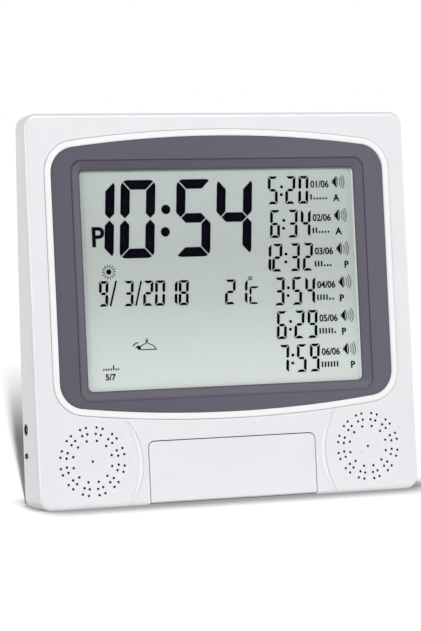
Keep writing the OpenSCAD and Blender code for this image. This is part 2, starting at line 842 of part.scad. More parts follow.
// White sockets that the wires plug into
module wire_sockets() {
    color("#f0efe8") leaned() for (spot = socket_spots) on_board(spot)
        plate(0, socket_t) square([socket_w, socket_h], center = true);
}

module temperature_sensor() {
    bead_r = 1.4;
    stand = 2;
    color("#3d2a1c") leaned() on_board(sensor_spot) {
        translate([0, stand, 0]) sphere(bead_r);
        for (s = [-1, 1]) post(s * bead_r / 2, 0, 0, 0.25, stand);
    }
}

// ---------- button cover, buttons and key board ----------

module button_cover() {
    color(case_white) leaned() {
        plate(0, door_t) intersection() {
            rounded(door_w, 2 * door_h, door_r);
            translate([-door_w, hinge_v]) square([2 * door_w, door_h]);
        }
        intersection() {
            rod(-door_w / 2, hinge_y, hinge_v, roll_r, door_w);
            translate([-door_w / 2, 0, hinge_v - roll_r]) cube([door_w, hinge_y + roll_r, roll_r + door_t]);
        }
        rod(-door_w / 2 - door_gap - door_pin_l, hinge_y, hinge_v, door_pin_r,
            door_w + 2 * door_gap + 2 * door_pin_l);
    }
}

module push_button(i) {
    color("#dfe1e4") leaned() translate([button_spots[i][0], 0, button_spots[i][1]]) {
        plate(recess_d - button_proud, button_proud + recess_t + slack) stadium(button_w, button_h);
        plate(recess_back + slack, flange_t)
            stadium(button_w + 2 * slack + 2 * flange_w, button_h + 2 * slack + 2 * flange_w);
    }
}

module key_mat() {
    color(rubber_grey) leaned() difference() {
        union() {
            translate([0, 0, key_post_v]) plate(mat_y, mat_t)
                square([key_board_w, key_high - key_low], center = true);
            for (p = button_spots) post(p[0], dome_y, p[1], dome_r, mat_y - dome_y);
        }
        for (s = [-1, 1])
            post(s * key_post_x, mat_y - cut, key_post_v, key_post_r + slack, mat_t + 2 * cut);
    }
}

module key_board() {
    color(board_green) leaned() difference() {
        translate([0, 0, key_post_v]) plate(key_board_y, key_board_t)
            square([key_board_w, key_high - key_low], center = true);
        for (s = [-1, 1]) post(s * key_post_x, key_board_y - cut, key_post_v,
            small_screw[2] + screw_gap, key_board_t + 2 * cut);
    }
}

module key_board_screws() {
    color(steel) leaned()
        screws(small_screw, key_board_y + key_board_t, [for (s = [-1, 1]) [s * key_post_x, key_post_v]]);
}

// A flat ribbon from the key board up to the main board
module key_ribbon() {
    w = 16;
    t = 0.3;
    lap = 4;                  // length that lies flat on the key board
    y0 = key_board_y + key_board_t;
    y1 = board_back;
    low = key_high + lap;
    high = board_low - 3;
    end = board_low + 5;
    color("#c98f3a") leaned() translate([-w / 2, 0, 0]) rotate([90, 0, 90]) linear_extrude(w) polygon([
        [y0, key_high - lap], [y0 + t, key_high - lap], [y0 + t, low], [y1 + t, high],
        [y1 + t, end], [y1, end], [y1, high], [y0, low]
    ]);
}

// ---------- speakers ----------

module speaker_gasket(s) {
    color("#3a3a3e") leaned() translate([s * speaker_x, 0, speaker_v]) difference() {
        post(0, wall, 0, speaker_r, gasket_t);
        post(0, wall - cut, 0, speaker_r - gasket_w, gasket_t + 2 * cut);
    }
}

module speaker_basket(s) {
    r0 = speaker_r - rim_w;
    r1 = magnet_r - 1;
    pole_r = 4.6;             // the magnet's pole passes here
    back = magnet_y - rim_y;
    windows = 6;
    window_d = 4;
    color("#7d8086") leaned() translate([s * speaker_x, 0, speaker_v]) scale([s, 1, 1])
        translate([-terminal_x - terminal_w / 2, magnet_y - terminal_t, terminal_v - terminal_w / 2])
            cube([terminal_x - r1 + terminal_w / 2, terminal_t, terminal_w]);
    color("#7d8086") leaned() translate([s * speaker_x, rim_y, speaker_v]) rotate([-90, 0, 0])
        difference() {
            rotate_extrude() polygon([
                [r0, 0], [speaker_r, 0], [speaker_r, rim_t], [r0 + 1, rim_t], [r1 + 1, back],
                [pole_r, back], [pole_r, back - basket_t], [r1, back - basket_t], [r0, rim_t]
            ]);
            for (i = [0:windows - 1]) rotate(i * 360 / windows)
                translate([(r0 + r1) / 2 + 0.6, 0, rim_t + basket_t])
                    cylinder(d = window_d, h = magnet_y);
        }
}

module speaker_cone(s) {
    r0 = speaker_r - rim_w - slack;
    neck = 4;
    paper = 0.5;
    back = cone_back - 0.6;
    color("#4b443c") leaned() translate([s * speaker_x, rim_y, speaker_v]) rotate([-90, 0, 0]) {
        rotate_extrude() polygon([
            [r0 - 2, 0.3], [r0, 0.3], [r0, 0.3 + paper], [r0 - 2, 0.3 + paper],
            [neck, back + paper], [0, back - 0.4 + paper], [0, back - 0.4], [neck + 0.4, back]
        ]);
    }
}

module speaker_magnet(s) {
    color(steel) leaned() translate([s * speaker_x, magnet_y, speaker_v]) rotate([-90, 0, 0]) {
        cylinder(r = magnet_r, h = 1.2);
        cylinder(r = magnet_r - 1, h = magnet_t);
        translate([0, 0, magnet_t - 1]) cylinder(r = magnet_r, h = 1);
    }
}

// The heads overlap the rims and hold both speakers down
module speaker_screws() {
    washer_r = 3.4;
    washer_t = 0.5;
    long_screw = [small_screw[0], small_screw[1], small_screw[2], rim_y + rim_t - wall + washer_t - 0.2];
    color(steel) leaned() for (s = [-1, 1], p = speaker_spots)
        translate([s * speaker_x + p[0], 0, speaker_v + p[1]]) {
            cross_screw(long_screw, rim_y + rim_t + washer_t);
            post(0, rim_y + rim_t, 0, washer_r, washer_t);
        }
}

// ---------- back of the case ----------

module hump_outline(inset = 0) {
    low = -2 * hump_corner_r;
    translate([0, (hump_h + low) / 2])
        rounded(hump_w - 2 * inset, hump_h - low - 2 * inset, hump_corner_r - inset);
}

// The hump with sloping sides behind a chamfer
module hump_block() {
    intersection() {
        plate(shell_d, hump_d - shell_d) hump_outline();
        translate([0, 0, -case_h / 2]) linear_extrude(2 * case_h) polygon([
            [-hump_w / 2, 0], [hump_w / 2, 0],
            [hump_w / 2, hump_d - hump_bevel], [hump_w / 2 - hump_bevel, hump_d],
            [hump_bevel - hump_w / 2, hump_d], [-hump_w / 2, hump_d - hump_bevel]
        ]);
        translate([-case_w, 0, 0]) rotate([90, 0, 90]) linear_extrude(2 * case_w) polygon([
            [0, -low_d], [hump_d, -low_d],
            [hump_d, hump_h - 2 * hump_bevel], [hump_d - 2 * hump_bevel, hump_h], [0, hump_h]
        ]);
    }
}

module bay_box() {
    d = hump_d - cover_t - bay_floor + bay_wall;
    translate([0, 0, bay_low + bay_h / 2]) plate(bay_floor - bay_wall, d)
        square([bay_w + 2 * bay_wall, bay_h + 2 * bay_wall], center = true);
}

module foot_groove() {
    top = foot_v + foot_l + slack;
    bar_v = top - foot_arm - 2 * slack;
    inner = foot_w / 2 - foot_arm - slack;
    outer = foot_w / 2 + slack;
    y0 = hump_d - groove_d;
    for (s = [-1, 1])
        translate([s > 0 ? inner : -outer, y0, foot_v]) cube([outer - inner, groove_d + cut, top - foot_v]);
    translate([-outer, y0, bar_v]) cube([2 * outer, groove_d + cut, top - bar_v]);
    // room for the rounded ends of the arms
    for (s = [-1, 1]) translate([s > 0 ? inner : -outer, foot_y - foot_r - slack, -hump_d])
        cube([outer - inner, 2 * foot_r + 2 * cut, hump_d + foot_v + foot_r + slack]);
    // finger notch
    post(0, y0, top, notch_r, groove_d + cut);
}

module keyhole() {
    post(0, 0, 0, keyhole_d / 2, 2 * low_d);
    post(0, 0, keyhole_slot_l, keyhole_slot_w / 2, 2 * low_d);
    translate([-keyhole_slot_w / 2, 0, 0]) cube([keyhole_slot_w, 2 * low_d, keyhole_slot_l]);
}

module rear_case() {
    color(case_white) leaned() difference() {
        union() {
            difference() {
                union() {
                    difference() {
                        intersection() {
                            plate(shell_d, 2 * low_d) case_outline();
                            back_solid();
                        }
                        under_floor();
                    }
                    difference() {
                        intersection() {
                            plate(shell_d - lip_h, 2 * low_d) case_outline(wall + lip_gap);
                            back_solid();
                        }
                        under_floor(wall + lip_gap);
                    }
                    difference() {
                        hump_block();
                        under_floor();
                    }
                }
                intersection() {
                    union() {
                        room(wall + lip_gap + lip_t, 0);
                        room(wall, shell_d + lip_root);
                    }
                    back_solid(wall);
                }
                difference() {
                    plate(0, hump_room) hump_outline(wall);
                    under_floor(wall);
                }
            }
            bay_box();
            for (p = case_spots) intersection() {
                post(p[0], case_seat - case_seat_t, p[1], well_r, 2 * low_d);
                back_solid(wall / 2);
            }
            for (v = side_post_v) intersection() {
                post(-side_post_x, side_board_y + side_board_t, v, 1.8, low_d);
                back_solid(wall / 2);
            }
        }
        // battery bay, cover seat and the hinge slots of the cover
        translate([0, 0, bay_low + bay_h / 2]) plate(bay_floor, low_d)
            square([bay_w, bay_h], center = true);
        translate([-cover_x - slack, hump_d - cover_t - seat_gap, cover_low - cover_swing_gap])
            cube([2 * (cover_x + slack), low_d, cover_high - cover_low + slack + cover_swing_gap]);
        for (s = [-1, 1]) translate([s * cover_arm_x, 0, 0]) {
            translate([-cover_arm_w / 2 - slack, cover_axis_y - cover_barrel_r - slack, cover_axis_v - 2])
                cube([cover_arm_w + 2 * slack, 2 * cover_barrel_r + 2 * cut, 2 + cover_low - cover_axis_v]);
            rod(-cover_arm_w / 2 - cover_pin_l - slack, cover_axis_y, cover_axis_v, cover_pin_r + pin_gap,
                cover_arm_w + 2 * cover_pin_l + 2 * slack);
        }
        post(0, hump_d - cover_t - 2 * slack, cover_high, cover_notch_r, low_d);
        foot_groove();
        for (s = [-1, 1]) translate([s * (foot_w - foot_arm) / 2 - foot_arm / 2 - foot_pin_l - slack, 0, 0])
            rod(0, foot_y, foot_v, foot_pin_r + pin_gap, foot_arm + 2 * foot_pin_l + 2 * slack);
        for (s = [-1, 1]) translate([s * keyhole_gap / 2, 0, case_h - keyhole_drop]) keyhole();
        for (p = case_spots) {
            post(p[0], 0, p[1], case_screw[2] + screw_gap, low_d);
            post(p[0], case_seat, p[1], case_screw[0] + 0.4, 2 * low_d);
        }
        for (v = side_post_v) post(-side_post_x, 0, v, small_screw[2] + screw_gap, back_y(v) - wall / 2);
        rod(-case_w, inlet_y, inlet_v, inlet_d / 2 + seat_gap, case_w - side_x + 2 * wall);
        rod(-case_w, lamp_y, lamp_v, lamp_d / 2 + seat_gap, case_w - side_x + 2 * wall);
    }
}

module case_screws() {
    color(steel) leaned() screws(case_screw, case_seat, case_spots);
}

module battery_cover() {
    color(case_white) leaned() {
        translate([0, 0, (cover_low + cover_high) / 2]) plate(hump_d - cover_t, cover_t)
            square([2 * cover_x, cover_high - cover_low], center = true);
        for (s = [-1, 1]) translate([s * cover_arm_x, 0, 0]) {
            rod(-cover_arm_w / 2, cover_axis_y, cover_axis_v, cover_barrel_r, cover_arm_w);
            translate([-cover_arm_w / 2, hump_d - cover_t, cover_axis_v])
                cube([cover_arm_w, cover_t - 0.1, cover_low - cover_axis_v + cut]);
            rod(-cover_arm_w / 2 - cover_pin_l, cover_axis_y, cover_axis_v, cover_pin_r,
                cover_arm_w + 2 * cover_pin_l);
        }
    }
}

module cell(i) {
    s = cell_side(i);
    flat_x = -s * (bay_w / 2 - plate_t - spring_l - seat_gap);
    color("#3f6fb0") leaned() translate([flat_x, cell_y, cell_v(i)]) rotate([0, s * 90, 0]) {
        cylinder(d = cell_d, h = cell_l - nub_l);
        cylinder(r = nub_r, h = cell_l);
    }
}

module contact_plates() {
    color(steel) leaned() for (i = [0:cells - 1], s = [-1, 1])
        translate([s * (bay_w - plate_t) / 2, cell_y, cell_v(i)])
            cube([plate_t, contact_d, contact_h], center = true);
}

// Points of a contact spring, from its plate to the cell
function spring_points() = [for (i = [0:8 * spring_turns])
    [spring_wire_r + i * (spring_l - 2 * spring_wire_r) / (8 * spring_turns),
     spring_r * cos(45 * i), spring_r * sin(45 * i)]];
spring_path = spring_points();
spring_gap = min([for (i = [0:len(spring_path) - 6], j = [i + 5:len(spring_path) - 1])
    norm(spring_path[i] - spring_path[j])]) - 2 * spring_wire_r;
echo(str("Least gap of a contact spring to itself: ", spring_gap, " mm"));

module contact_springs() {
    color(steel) leaned() for (i = [0:cells - 1])
        translate([-cell_side(i) * (bay_w / 2 - plate_t), cell_y, cell_v(i)])
            rotate([0, cell_side(i) > 0 ? 0 : 180, 0]) tube(spring_path, spring_wire_r, 6);
}

// ---------- foot ----------

module fold_out_foot() {
    arm_x = foot_w / 2 - foot_arm / 2;
    color(case_white) translate([0, foot_axis_y, foot_r]) {
        for (s = [-1, 1]) {
            rod(s * arm_x - foot_arm / 2, 0, 0, foot_r, foot_arm);
            rod(s * arm_x - foot_arm / 2 - foot_pin_l, 0, 0, foot_pin_r, foot_arm + 2 * foot_pin_l);
            translate([s * arm_x - foot_arm / 2, 0, -foot_r])
                cube([foot_arm, foot_l - foot_arm / 2, foot_t]);
        }
        translate([0, foot_l - foot_arm / 2, -foot_r]) linear_extrude(foot_t)
            rounded(foot_w, foot_arm, 2);
    }
}

// ---------- left side ----------

module power_inlet() {
    color(plastic_black) leaned() difference() {
        union() {
            rod(-case_w / 2, inlet_y, inlet_v, inlet_d / 2, case_w / 2 - side_x + 2 * slack);
            translate([-side_x + slack, inlet_y - inlet_body / 2, inlet_v - inlet_body_h / 2])
                cube([inlet_body_l, inlet_body, inlet_body_h]);
        }
        rod(-case_w / 2 - cut, inlet_y, inlet_v, inlet_bore_d / 2, cut + inlet_bore_l);
    }
}

module inlet_pin() {
    color(steel) leaned()
        rod(inlet_pin_sink - case_w / 2, inlet_y, inlet_v, inlet_pin_r, inlet_bore_l - inlet_pin_sink);
}

module power_lamp() {
    body_x = case_w / 2 - lamp_d / 2 + lamp_proud;
    color("#b3262a") leaned() {
        translate([-body_x, lamp_y, lamp_v]) sphere(d = lamp_d);
        rod(-body_x, lamp_y, lamp_v, lamp_d / 2, body_x - side_x + lamp_tail);
        rod(-side_x + slack, lamp_y, lamp_v, lamp_flange_r, lamp_flange_t);
    }
}

module side_board() {
    low = side_post_v[0] - side_board_rim;
    high = side_post_v[1] + side_board_rim;
    x1 = side_x - side_board_in;
    x0 = side_post_x - side_board_rim;
    color(board_green) leaned() difference() {
        translate([-x1, side_board_y, low]) cube([x1 - x0, side_board_t, high - low]);
        for (v = side_post_v)
            post(-side_post_x, side_board_y - cut, v, small_screw[2] + screw_gap, side_board_t + 2 * cut);
    }
}

module side_board_screws() {
    color(steel) leaned() for (v = side_post_v)
        translate([-side_post_x, side_board_y, v]) mirror([0, 1, 0])
            cross_screw([small_screw[0], small_screw[1], small_screw[2], side_screw_l], 0);
}

// ---------- wires ----------

// Points on a smooth curve through the given ones
function bend(p, n) = [for (i = [0:len(p) - 2], k = [0:n - (i < len(p) - 2 ? 1 : 0)])
    let (
        a = p[max(i - 1, 0)],
        b = p[i],
        c = p[i + 1],
        d = p[min(i + 2, len(p) - 1)],
        t = k / n
    )
    0.5 * (2 * b + (c - a) * t + (2 * a - 5 * b + 4 * c - d) * t ^ 2 + (3 * b - a - 3 * c + d) * t ^ 3)];

wire_y = board_back + socket_t / 2;
wire_end_v = board_low + socket_spots[0][1] - socket_h / 2 - seat_gap;

module speaker_wire(s) {
    spot_x = s < 0 ? -socket_spots[1][0] : socket_spots[3][0];
    x0 = speaker_x - terminal_x;
    y0 = magnet_y + seat_gap;
    v0 = speaker_v + terminal_v;
    color("#a8302c") leaned() scale([s, 1, 1]) tube(bend([
        [x0, y0, v0],
        [x0, y0 + 2.5, v0 + 0.3],
        [x0 - 5, y0 + 3.5, v0 + 6],
        [spot_x + 2, wire_y + 0.6, wire_end_v - 9],
        [spot_x, wire_y, wire_end_v - 4],
        [spot_x, wire_y, wire_end_v]
    ], 5), wire_r, wire_sides);
}

module battery_wire() {
    x1 = socket_spots[2][0];
    x0 = -bay_w / 2 - bay_wall - seat_gap;
    y0 = cell_y - contact_d / 2 - 0.5;
    v0 = bay_low + bay_h - 12;
    color("#222222") leaned() tube(bend([
        [x0, y0, v0],
        [x0 - 3, y0, v0],
        [x0 - 5, y0 - 5, v0 - 4],
        [x0 + 4, wire_y + 0.3, v0 - 6],
        [x1 - 4, wire_y, wire_end_v - 8],
        [x1, wire_y, wire_end_v - 3.5],
        [x1, wire_y, wire_end_v]
    ], 5), wire_r, wire_sides);
}

module inlet_wire() {
    x0 = inlet_lead - side_x;
    x1 = socket_spots[0][0];
    y0 = side_board_y - slack;
    color("#222222") leaned() tube(bend([
        [x0, y0, inlet_v + 1],
        [x0, y0 - 1.6, inlet_v + 1],
        [x0 + 5, y0 - 2.1, inlet_v + 2],
        [x0 + 15, y0 - 1.6, inlet_v + 4],
        [x1 - 5, wire_y - 0.3, inlet_v + 6.5],
        [x1, wire_y, wire_end_v - 3.5],
        [x1, wire_y, wire_end_v]
    ], 5), wire_r, wire_sides);
}

// ---------- nodes ----------

front_case();
trim_ring();
display_surround();
display_window();
display_front_glass();
display_rear_glass();
display_reflector();
display_holder();
holder_screws();
contact_strip();
main_board();
board_screws();
clock_chip();
sound_chip();
amplifier_chip();
crystal();
capacitors();
wire_sockets();
temperature_sensor();
button_cover();
push_button(0);  // button_1
push_button(1);  // button_2
push_button(2);  // button_3
push_button(3);  // button_4
push_button(4);  // button_5
push_button(5);  // button_6
push_button(6);  // button_7
push_button(7);  // button_8
key_mat();
key_board();
key_board_screws();
key_ribbon();
speaker_gasket(-1);  // speaker_gasket_left
speaker_gasket(1);  // speaker_gasket_right
speaker_basket(-1);  // speaker_basket_left
speaker_basket(1);  // speaker_basket_right
speaker_cone(-1);  // speaker_cone_left
speaker_cone(1);  // speaker_cone_right
speaker_magnet(-1);  // speaker_magnet_left
speaker_magnet(1);  // speaker_magnet_right
speaker_screws();
rear_case();
case_screws();
battery_cover();
cell(0);  // cell_1
cell(1);  // cell_2
cell(2);  // cell_3
contact_plates();
contact_springs();
fold_out_foot();
power_inlet();
inlet_pin();
power_lamp();
side_board();
side_board_screws();
speaker_wire(-1);  // speaker_wire_left
speaker_wire(1);  // speaker_wire_right
battery_wire();
inlet_wire();
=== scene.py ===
import json
import math
import bmesh
import bpy
from mathutils import Matrix, Vector


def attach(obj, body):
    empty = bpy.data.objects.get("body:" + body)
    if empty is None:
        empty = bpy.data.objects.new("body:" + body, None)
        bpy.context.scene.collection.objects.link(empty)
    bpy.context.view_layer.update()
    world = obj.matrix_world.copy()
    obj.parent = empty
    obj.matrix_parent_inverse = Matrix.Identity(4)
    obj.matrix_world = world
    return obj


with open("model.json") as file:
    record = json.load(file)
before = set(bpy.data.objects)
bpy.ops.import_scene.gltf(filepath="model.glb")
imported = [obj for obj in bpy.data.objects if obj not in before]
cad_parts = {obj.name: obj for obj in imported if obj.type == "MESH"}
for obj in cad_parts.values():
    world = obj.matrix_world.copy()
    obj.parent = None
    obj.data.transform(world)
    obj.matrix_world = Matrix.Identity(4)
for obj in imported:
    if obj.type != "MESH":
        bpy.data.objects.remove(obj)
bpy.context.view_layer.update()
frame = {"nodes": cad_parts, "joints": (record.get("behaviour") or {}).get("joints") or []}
nodes = frame["nodes"]
mm = 0.001
print("frame loaded:", len(nodes), "nodes")

# Camera, at the place and angle of the photograph

camera = {
    "place": (-0.521021, -1.248760, 0.210162),
    "aim": (0.379796, 0.921006, -0.086620),
    "lens": 153.276,
    "shift": -0.00396,
    "near": 0.05,
    "far": 30,
}


def addCamera():
    lens = bpy.data.cameras.new("camera")
    lens.lens = camera["lens"]
    lens.shift_y = camera["shift"]
    lens.clip_start = camera["near"]
    lens.clip_end = camera["far"]
    made = bpy.data.objects.new("camera", lens)
    made.location = camera["place"]
    made.rotation_euler = Vector(camera["aim"]).to_track_quat("-Z", "Y").to_euler()
    bpy.context.scene.collection.objects.link(made)
    bpy.context.scene.camera = made


addCamera()
bpy.context.scene.view_settings.view_transform = "Standard"
print("camera placed")

# The case's own directions: across, from its front into it, and up along its front


def caseDirections():
    press = next(j for j in frame["joints"] if j["name"] == "button_1_press")
    inward = Vector(press["axis"])
    across = Vector((1, 0, 0))
    upward = across.cross(inward)
    face = min(v.co.dot(inward) for v in nodes["front_case"].data.vertices)
    origin = Vector((0, face / inward.y, 0))
    turned = Matrix((across, inward, upward)).transposed().to_4x4()
    return inward, upward, Matrix.Translation(origin) @ turned


inward, upward, caseMatrix = caseDirections()
caseOrigin = caseMatrix.translation


def caseBox(node):  # lowest and highest corner along the case's directions, in mm
    back = caseMatrix.inverted()
    points = [back @ v.co for v in nodes[node].data.vertices]
    low = Vector(min(p[i] for p in points) for i in range(3)) / mm
    high = Vector(max(p[i] for p in points) for i in range(3)) / mm
    return low, high


# Shader maths: a socket that can be added, multiplied and joined to nodes


class Wire:
    def __init__(self, tree, socket=None):
        self.tree = tree
        self.socket = socket

    def node(self, kind, settings=None, inputs=None, output=0):
        made = self.tree.nodes.new("ShaderNode" + kind)
        for name, value in (settings or {}).items():
            if name == "stops":
                setStops(made.color_ramp, value)
            else:
                setattr(made, name, value)
        for name, value in (inputs or {}).items():
            if isinstance(name, int):
                socket = made.inputs[name]
            else:
                socket = next(s for s in made.inputs if s.enabled and s.name == name)
            if isinstance(value, Wire):
                self.tree.links.new(value.socket, socket)
            else:
                socket.default_value = value
        found = [s for s in made.outputs if s.enabled]
        if isinstance(output, str):
            return Wire(self.tree, made.outputs[output])
        return Wire(self.tree, found[output] if found else None)

    def math(self, operation, left, right=0.0):
        return self.node("Math", {"operation": operation}, {0: left, 1: right})

    def __add__(self, other):
        return self.math("ADD", self, other)

    def __radd__(self, other):
        return self.math("ADD", other, self)

    def __sub__(self, other):
        return self.math("SUBTRACT", self, other)

    def __rsub__(self, other):
        return self.math("SUBTRACT", other, self)

    def __mul__(self, other):
        return self.math("MULTIPLY", self, other)

    def __rmul__(self, other):
        return self.math("MULTIPLY", other, self)

    def __abs__(self):
        return self.math("ABSOLUTE", self)

    def most(self, other):
        return self.math("MAXIMUM", self, other)

    def least(self, other):
        return self.math("MINIMUM", self, other)

    def root(self):
        return self.math("SQRT", self)

    def along(self, direction):  # how far a position lies in a direction
        return self.node("VectorMath", {"operation": "DOT_PRODUCT"}, {0: self, 1: direction}, "Value")

    def scaled(self, x, y, z):
        return self.node("VectorMath", {"operation": "MULTIPLY"}, {0: self, 1: (x, y, z)})

    def step(self, low, high):  # 0 below low, 1 above high, smooth between
        ways = {"interpolation_type": "SMOOTHSTEP"}
        return self.node("MapRange", ways, {"Value": self, "From Min": low, "From Max": high})

    def past(self, span):  # the same for a length, over a span in mm
        return self.step(span[0] * mm, span[1] * mm)


def setStops(ramp, stops):
    while len(ramp.elements) < len(stops):
        ramp.elements.new(1)
    for element, (position, shade) in zip(ramp.elements, stops):
        element.position = position
        element.color = shade


def tone(code, lighter=1.0):  # a colour written as in a paint program
    parts = [int(code[i:i + 2], 16) / 255 for i in (1, 3, 5)]
    plain = [p / 12.92 if p <= 0.04045 else ((p + 0.055) / 1.055) ** 2.4 for p in parts]
    return (*[min(1, p * lighter) for p in plain], 1)


def newFinish(name):
    made = bpy.data.materials.new(name)
    made.use_nodes = True
    made.node_tree.nodes.clear()
    return made, Wire(made.node_tree)


def mixTone(start, share, first, second):
    return start.node("Mix", {"data_type": "RGBA"}, {"Factor": share, "A": first, "B": second})


def place(start):
    return start.node("TexCoord", output="Object")


def noise(start, size, detail=2.0, at=None):  # size of its patches, in mm
    vector = place(start) if at is None else at
    return start.node("TexNoise", None, {"Vector": vector, "Scale": 1 / (size * mm), "Detail": detail})


def uneven(start, size, low, change):  # a value in patches, from low up to low + change
    return noise(start, size) * change + low


def bump(start, height, depth):  # depth in mm
    return start.node("Bump", None, {"Strength": 1.0, "Distance": depth * mm, "Height": height})


def surface(start, inputs):
    shader = start.node("BsdfPrincipled", None, inputs)
    start.node("OutputMaterial", None, {"Surface": shader})


# Floor: white to the horizon, and it keeps the shadow

floorLook = {
    "size": 24,            # in metres
    "seen": 0.86,          # as the camera sees it
    "bounce": 0.45,        # as the object is lit by it
    "patches": 30,         # size of its faint changes of tone
    "change": 0.01,
    "contact": 29,         # reach of the soft shadow round the foot of the case
    "depth": 2.25,
    "darkest": 0.3,
    "start": (-112, -98),  # where that shadow begins, from the left
}


# Light: a pale room, soft lamps on the object, and one tall narrow lamp of the floor's own

light = {
    "room": 0.18,
    "onObject": {  # turn 0 is in front and 90 at the right
        "key": {"turn": 20, "rise": 30, "strength": 1.46, "spread": 30},
        "leftFill": {"turn": -64, "rise": 4, "strength": 1.5, "spread": 30},
        "rightFill": {"turn": 82, "rise": 5, "strength": 0.75, "spread": 40},
        "backFill": {"turn": 180, "rise": 5, "strength": 1.6, "spread": 40, "gloss": False},
    },
    "onFloor": {  # a row of suns, weaker towards its top
        "turn": -17.4, "rises": range(17, 42, 2), "top": 43, "fade": 20, "share": 0.101, "spread": 1,
    },
}


def seenAsBackdrop(start):  # 1 for the rays that see the backdrop itself
    path = start.node("LightPath")
    rays = {s.name: Wire(start.tree, s) for s in path.socket.node.outputs}
    return rays["Is Camera Ray"].most(rays["Is Glossy Ray"]).most(rays["Is Transmission Ray"])


def addLamp(name, lamp, floor, reaches):  # reaches the floor alone, or all but the floor
    sun = bpy.data.lights.new(name, "SUN")
    sun.energy = lamp["strength"]
    sun.angle = math.radians(lamp["spread"])
    turn, rise = math.radians(lamp["turn"]), math.radians(lamp["rise"])
    source = Vector((math.sin(turn) * math.cos(rise), -math.cos(turn) * math.cos(rise), math.sin(rise)))
    made = bpy.data.objects.new(name, sun)
    made.rotation_euler = (-source).to_track_quat("-Z", "Y").to_euler()
    made.visible_glossy = lamp.get("gloss", True)
    bpy.context.scene.collection.objects.link(made)
    lights = bpy.data.collections.new(name + "Reach")
    lights.objects.link(floor)
    lights.collection_objects[0].light_linking.link_state = reaches
    made.light_linking.receiver_collection = lights


def addLight(floor):
    world = bpy.data.worlds.new("room")
    world.use_nodes = True
    world.node_tree.nodes.clear()
    start = Wire(world.node_tree)
    strength = seenAsBackdrop(start) * (1 - light["room"]) + light["room"]
    sky = start.node("Background", None, {"Color": (1, 1, 1, 1), "Strength": strength})
    start.node("OutputWorld", None, {"Surface": sky})
    bpy.context.scene.world = world
    for name, lamp in light["onObject"].items():
        addLamp(name, lamp, floor, "EXCLUDE")
    tall = light["onFloor"]
    for rise in tall["rises"]:
        share = tall["share"] * min(1, (tall["top"] - rise) / tall["fade"])
        strength = share * math.pi / floorLook["seen"] / math.sin(math.radians(rise))
        lamp = {"turn": tall["turn"], "rise": rise, "strength": strength, "spread": tall["spread"]}
        addLamp("floorLamp_" + str(rise), lamp, floor, "INCLUDE")


def addFloor():
    finish, start = newFinish("paleFloor")
    look = floorLook
    grain = uneven(start, look["patches"], look["bounce"], look["change"])
    near = start.node("AmbientOcclusion", {"samples": 16}, {"Distance": look["contact"] * mm}, "AO")
    seen = seenAsBackdrop(start)
    under = place(start).along((1, 0, 0)).past(look["start"])
    contact = ((near - 1) * under * look["depth"] + 1).most(look["darkest"])
    level = seen * contact * look["seen"] + (1 - seen) * grain
    shade = start.node("CombineColor", None, {"Red": level, "Green": level, "Blue": level})
    surface(start, {"Base Color": shade, "Roughness": 1.0, "Specular IOR Level": 0.0})
    shape = bmesh.new()
    bmesh.ops.create_grid(shape, x_segments=1, y_segments=1, size=look["size"] / 2)
    mesh = bpy.data.meshes.new("floor")
    shape.to_mesh(mesh)
    shape.free()
    mesh.materials.append(finish)
    made = bpy.data.objects.new("floor", mesh)
    bpy.context.scene.collection.objects.link(made)
    return made


addLight(addFloor())
print("light and floor set")

# Painted shade round the speakers: the walls of the holes in front of them painted near black, and painted
# shade and highlight along the crescent grooves beside them

paintedHoleShade = {
    "zone": (18.5, 19),      # how far the holes reach from the speaker's middle
    "depth": (0.16, 0.24),   # just under the grille's own face
    # painted shade: the near black that the holes' walls are painted
    "shade": "#0a0a0c",
}


def speakerMiddle(side):
    low, high = caseBox("speaker_cone_" + side)
    return caseMatrix @ ((low + high) / 2 * mm)


def inSpeakerHoles(start):  # 1 inside the holes, where their walls get the painted shade
    spot = place(start)
    near = 0.0
    for side in ("left", "right"):
        middle = speakerMiddle(side)
        across = spot.along((1, 0, 0)) - middle.x
        rise = spot.along(upward) - middle.dot(upward)
        near = (1 - (across * across + rise * rise).root().past(paintedHoleShade["zone"])).most(near)
    return near * (spot.along(inward) - caseOrigin.dot(inward)).past(paintedHoleShade["depth"])


crescent = {
    "outer": 31.2,            # radius of the outer arc, and its middle beside the speaker's
    "outerAt": 4.4,
    "inner": 40,
    "innerAt": 16.1,
    "drop": 1.6,              # of both below the speaker's middle
    "outerEdge": (0.2, 0.4),
    "innerEdge": (-0.4, -0.2),
    "tips": (-4, 0),          # it fades out before it comes round to the far side
    # painted highlight on the band between the arcs
    "shade": "#fbfcfe",
    "share": 0.8,
    "line": (0, 0.5),         # width of the painted shade along its edges
    "paintedLineShade": "#c4c5ca",
    "paintedLineShare": 0.55,
}


def crescentLines(start):  # painted shade: 1 along both arcs of the grooves; painted highlight: 1 between them
    spot = place(start)
    lines, between = 0.0, 0.0
    for side, sign in (("left", -1), ("right", 1)):
        middle = speakerMiddle(side)
        across = (spot.along((1, 0, 0)) - middle.x) * sign
        rise = spot.along(upward) - (middle.dot(upward) - crescent["drop"] * mm)
        outAcross = across - crescent["outerAt"] * mm
        inAcross = across - crescent["innerAt"] * mm
        out = (outAcross * outAcross + rise * rise).root() - crescent["outer"] * mm
        into = (inAcross * inAcross + rise * rise).root() - crescent["inner"] * mm
        here = (1 - out.past(crescent["outerEdge"])) * into.past(crescent["innerEdge"])
        here = here * (1 - across.past(crescent["tips"]))
        edge = abs(out).least(abs(into))
        lines = ((1 - edge.past(crescent["line"])) * here).most(lines)
        between = here.most(between)
    return lines, between


# Finishes of the moulded parts

plastic = {"patches": 18, "cloud": 6, "gloss": 0.1}  # size of its patches of tone and of gloss


